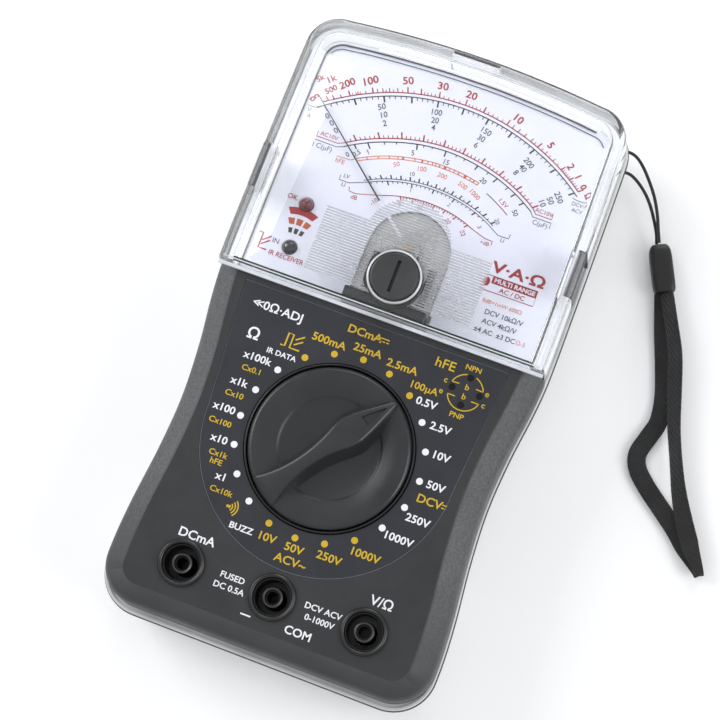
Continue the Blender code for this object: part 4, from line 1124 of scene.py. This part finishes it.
PANEL_TEXT = (
    ("white", "≪0Ω·ADJ", -28.0, 1.5, 2.2, 0.03),
    ("white", "Ω", -32.1, -7.3, 2.9, 0.05),
    ("white", "IR DATA", -22.5, -10.2, 1.35, 0.01),
    ("white", "x100k", -28.5, -13.5, 1.9, 0.03), ("white", "x1k", -30.9, -21.7, 1.9, 0.03),
    ("white", "x100", -32.1, -30.1, 1.9, 0.03), ("white", "x10", -30.2, -38.9, 1.9, 0.03),
    ("white", "x1", -25.7, -48.7, 1.9, 0.03), ("white", "BUZZ", -15.2, -60.3, 1.6, 0.02),
    ("white", "0.5V", 21.1, -9.1, 1.95, 0.03), ("white", "2.5V", 27.3, -14.5, 1.95, 0.03),
    ("white", "10V", 30.2, -22.0, 1.95, 0.03), ("white", "50V", 31.8, -30.5, 1.95, 0.03),
    ("white", "250V", 30.4, -41.1, 1.95, 0.03), ("white", "1000V", 27.1, -47.8, 1.95, 0.03),
    ("yellow", "DCmA", -2.3, 3.7, 2.05, 0.04), ("yellow", "500mA", -11.1, -1.9, 2.0, 0.03),
    ("yellow", "25mA", 0.2, -0.7, 2.0, 0.03), ("yellow", "2.5mA", 11.0, -1.7, 2.0, 0.03),
    ("yellow", "100µA", 18.8, -5.3, 1.8, 0.02), ("yellow", "hFE", 22.3, 3.2, 2.4, 0.01),
    ("yellow", "NPN", 30.2, 4.7, 1.35, 0.01), ("yellow", "PNP", 30.2, -9.5, 1.35, 0.01),
    ("yellow", "c", 23.9, -0.8, 1.5, 0.0), ("yellow", "e", 36.3, -0.8, 1.5, 0.0),
    ("yellow", "e", 23.7, -4.2, 1.5, 0.0), ("yellow", "c", 36.3, -4.2, 1.5, 0.0),
    ("yellow", "b", 30.3, -0.9, 1.5, 0.0), ("yellow", "b", 30.3, -3.7, 1.5, 0.0),
    ("yellow", "Cx0.1", -28.8, -17.2, 1.45, 0.01), ("yellow", "Cx10", -30.9, -25.5, 1.45, 0.01),
    ("yellow", "Cx100", -31.8, -34.2, 1.45, 0.01), ("yellow", "Cx1k", -29.0, -42.9, 1.45, 0.01),
    ("yellow", "hFE", -28.7, -45.2, 1.45, 0.01), ("yellow", "Cx10k", -24.3, -52.5, 1.45, 0.01),
    ("yellow", "10V", -7.5, -60.2, 2.0, 0.03), ("yellow", "50V", 0.8, -60.5, 2.0, 0.03),
    ("yellow", "250V", 10.9, -59.5, 2.0, 0.03), ("yellow", "1000V", 20.0, -55.3, 2.0, 0.03),
    ("yellow", "ACV~", 1.1, -64.2, 2.1, 0.03), ("yellow", "DCV", 31.6, -35.0, 2.1, 0.03),
)
JACK_TEXT = (
    ("white", "DCmA", -25.9, -66.9, 2.3, 0.04), ("white", "V/Ω", 29.2, -66.1, 2.5, 0.03),
    ("white", "COM", 10.3, -82.0, 2.1, 0.04),
    ("white", "FUSED", -12.3, -74.0, 1.55, 0.02), ("white", "DC 0.5A", -12.3, -77.1, 1.55, 0.02),
    ("white", "DCV ACV", 14.7, -73.8, 1.55, 0.02), ("white", "0-1000V", 14.7, -76.9, 1.55, 0.02),
)


# ------------------------------------------------------------ lanyard
def spline(points, count):
    pts = [Vector(p) for p in points]
    pts = [2 * pts[0] - pts[1]] + pts + [2 * pts[-1] - pts[-2]]
    dense = []
    for p0, p1, p2, p3 in zip(pts, pts[1:], pts[2:], pts[3:]):
        for k in range(16):
            t = k / 16
            dense.append(0.5 * (2 * p1 + (p2 - p0) * t + (2 * p0 - 5 * p1 + 4 * p2 - p3) * t * t
                                + (3 * p1 - p0 - 3 * p2 + p3) * t ** 3))
    dense.append(pts[-2])
    total = sum((b - a).length for a, b in zip(dense, dense[1:]))
    out, walked, k = [dense[0]], 0.0, 1
    for a, b in zip(dense, dense[1:]):
        seg = (b - a).length
        while k < count and walked + seg >= total * k / count:
            out.append(a.lerp(b, (total * k / count - walked) / seg))
            k += 1
        walked += seg
    return out + [dense[-1]], total


CORD_LOOP = ((66.9, 65.4, 3.9), (65.3, 69.0, 4.4), (63.6, 72.9, 5.2), (61.3, 77.0, 6.1),
             (58.6, 80.6, 7.0), (54.7, 84.8, 8.0), (51.4, 87.0, 8.8), (48.2, 87.3, 9.0),
             (45.2, 86.6, 9.0), (44.2, 84.2, 9.0), (45.2, 81.6, 9.0), (48.0, 80.9, 9.0),
             (51.7, 81.1, 8.6), (54.9, 79.8, 7.7), (58.0, 77.6, 6.6), (60.6, 75.0, 5.2),
             (63.0, 71.7, 3.9), (65.1, 68.2, 3.0), (66.3, 65.1, 2.7))
WEB_LOOP = ((73.3, 52.4, 3.1), (74.6, 50.5, 3.6), (78.6, 42.8, 4.3), (82.6, 34.5, 4.2),
            (86.1, 23.8, 3.8), (89.2, 14.5, 3.6), (93.0, 5.3, 3.4), (97.0, -3.6, 3.4),
            (101.0, -10.8, 3.6), (105.2, -17.4, 3.9), (109.2, -22.8, 3.7), (110.3, -24.3, 2.4),
            (109.2, -22.8, 1.1), (104.6, -18.7, 0.8), (99.6, -14.0, 0.8), (93.6, -9.4, 0.8),
            (87.6, -4.8, 0.8), (83.4, -0.6, 0.9), (82.0, 3.6, 1.1), (83.3, 9.0, 1.2),
            (84.6, 14.6, 1.0), (83.6, 22.0, 0.9), (80.8, 30.6, 0.9), (77.2, 40.1, 1.2),
            (74.0, 49.2, 1.8), (72.9, 52.2, 2.4))


def lanyard():
    count = 110
    points, total = spline(CORD_LOOP, count)
    rings = []
    for i, p in enumerate(points):
        t = (points[min(i + 1, count)] - points[max(i - 1, 0)]).normalized()
        side = t.cross(Vector((0, 0, 1))).normalized()
        up = side.cross(t)
        rings.append([tuple(p + side * (0.5 * math.cos(a)) + up * (0.5 * math.sin(a)))
                      for a in (2 * math.pi * j / 12 for j in range(12))])
    obj = make("cord_loop", *loft(rings), "cord", "lanyard_fabric", replaces=("lanyard_cord",))
    a, b = Vector((67.1, 64.9, 0)), Vector((73.5, 51.7, 0))
    axis = (b - a).normalized()
    side = Vector((-axis.y, axis.x, 0))
    rings = []
    for t, k in ((0.0, 0.5), (0.01, 0.66), (0.05, 0.82), (0.13, 0.95), (0.25, 1.0), (0.5, 1.0),
                 (0.8, 1.0), (0.93, 0.97), (0.98, 0.9), (1.0, 0.8)):
        centre = a.lerp(b, t)
        ring = []
        for i in range(40):
            ang = 2 * math.pi * i / 40
            cc, ss = math.cos(ang), math.sin(ang)
            w = 3.4 * k * math.copysign(abs(cc) ** 0.55, cc)
            h = 2.7 * k * math.copysign(abs(ss) ** 0.55, ss)
            ring.append(tuple(centre + side * w + Vector((0, 0, h + 3.1))))
        rings.append(ring)
    make("toggle", *loft(rings), "bead", "black_plastic", replaces=("lanyard_bead",))
    count = 220
    points, total = spline(WEB_LOOP, count)
    rings = []
    across = Vector((0.9, 0.45, 0))
    for i, p in enumerate(points):
        t = (points[min(i + 1, count)] - points[max(i - 1, 0)]).normalized()
        flat = Vector((t.x, t.y, 0))
        fresh = Vector((-t.y, t.x, 0)).normalized() if flat.length > 0.7 else across
        if fresh.dot(across) < 0:
            fresh = -fresh
        across = fresh
        up = across.cross(t).normalized()
        if up.z < 0:
            up = -up
        f = i / count
        held = max(min((p.z - 1.3) / 1.8, 1.0), 0.0)
        lean = held * (0.7 + 0.25 * math.sin(9.0 * f) + 0.15 * math.sin(23.0 * f + 1.0))
        width = 2.7 * min(0.55 + math.hypot(p.x - 110.3, p.y + 24.3) / 22.0, 1.0)
        wide = (across * math.cos(lean) + up * math.sin(lean)).normalized()
        thick = (up * math.cos(lean) - across * math.sin(lean)).normalized()
        ring = []
        for way in (1, -1):
            for j in range(12):
                u = way * (2 * j / 11 - 1)
                ripple = 0.04 * math.sin(3.0 * i + 2.0 * j) if way > 0 else 0.0
                h = 0.42 * (1 - 0.5 * abs(u) ** 6) + ripple
                ring.append(tuple(p + wide * (u * width) + thick * (way * h)))
        rings.append(ring)
    web = make("webbing", *loft(rings), "web", "lanyard_fabric",
               replaces=("lanyard_webbing",))


# ------------------------------------------------------------ carried-over CAD nodes
CARRIED = {
    "rear": ("battery_door",), "knob": ("knob_spindle", "range_rotor"),
    "black": ("adjust_pot", "fuse_base", "transistor_socket"),
    "steel": ("detent_ball", "pole_core", "upper_pivot", "lower_pivot", "fuse_cap_left",
              "fuse_cap_right", "buzzer_disc", "cell_contact_left", "cell_contact_right",
              "door_screw", "case_screw_1", "case_screw_2", "case_screw_3", "case_screw_4"),
    "frame": ("movement_bridge",), "iron": ("field_magnet",), "copper": ("moving_coil",),
    "brass": ("range_wiper", "hairspring", "upper_jewel", "lower_bearing"),
    "board": ("circuit_board",), "fuse": ("fuse",), "jacket": ("cell_lower", "cell_upper"),
}


def carry():
    for mat, names in CARRIED.items():
        for name in names:
            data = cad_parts[name].data
            data.materials.clear()
            data.materials.append(M[mat])


# ------------------------------------------------------------ camera, light, floor
def stage():
    bpy.ops.mesh.primitive_plane_add(size=6.0, location=(0, 0, -0.0004))
    floor = bpy.context.object
    floor.name = "floor"
    n = Nodes("m_floor")
    tone = n.ramp(n.noise(3.0), ((0.3, (0.94, 0.94, 0.945)), (0.7, (0.97, 0.97, 0.97))))
    n.put("Base Color", tone)
    n.put("Roughness", 0.8)
    floor.data.materials.append(n.mat)
    camera = bpy.data.cameras.new("camera")
    camera.lens = 103.0
    camera.sensor_width = 36.0
    camera.clip_start, camera.clip_end = 0.01, 20.0
    cam = bpy.data.objects.new("camera", camera)
    bpy.context.collection.objects.link(cam)
    right = Vector((0.93343635, 0.35458113, -0.05448675))
    up = Vector((-0.33840817, 0.92071937, 0.19430839))
    back = Vector((0.11906509, -0.16293575, 0.97942608))
    rot = Matrix((right, up, back)).transposed().to_4x4()
    cam.matrix_world = Matrix.Translation((0.0685794, -0.0990012, 0.6055528)) @ rot
    bpy.context.scene.camera = cam
    lamps = (("key", (-1.15, 0.25, 0.75), 0.8, 10.0), ("fill", (1.2, 0.1, 0.7), 0.8, 7.5),
             ("far", (-0.1, 1.5, 0.7), 0.7, 6.0))
    for name, where, size, power in lamps:
        data = bpy.data.lights.new(name, "AREA")
        data.shape = "SQUARE"
        data.size = size
        data.energy = power
        lamp = bpy.data.objects.new(name, data)
        lamp.location = where
        aim = Vector((0.0, 0.0, 0.02)) - Vector(where)
        lamp.rotation_mode = "QUATERNION"
        lamp.rotation_quaternion = aim.to_track_quat("-Z", "Y")
        bpy.context.collection.objects.link(lamp)
    world = bpy.data.worlds.new("world")
    world.use_nodes = True
    sky = world.node_tree.nodes["Background"]
    sky.inputs["Color"].default_value = (0.97, 0.98, 1.0, 1.0)
    sky.inputs["Strength"].default_value = 0.70
    scene = bpy.context.scene
    scene.world = world
    scene.view_settings.view_transform = "Standard"
    scene.view_settings.look = "None"
    scene.view_settings.exposure = 0.0


def main():
    rear_case()
    front_case()
    label()
    meter_cover()
    lugs()
    bezel()
    knob()
    jacks()
    zero_screw()
    ohm_wheel()
    dial_plate()
    z = DIAL_Z + 0.03
    for scale in (scale_one, scale_two, scale_three, scale_four, scale_five, dial_marks):
        scale(z)
    indicators()
    needle()
    panel_marks(LABEL_Z + 0.03, PANEL_Z + 0.03)
    ink.flush({"dial": "dial_white", "panel": "label_film", "cover": "clear_cover"})
    lanyard()
    carry()
    stage()


main()
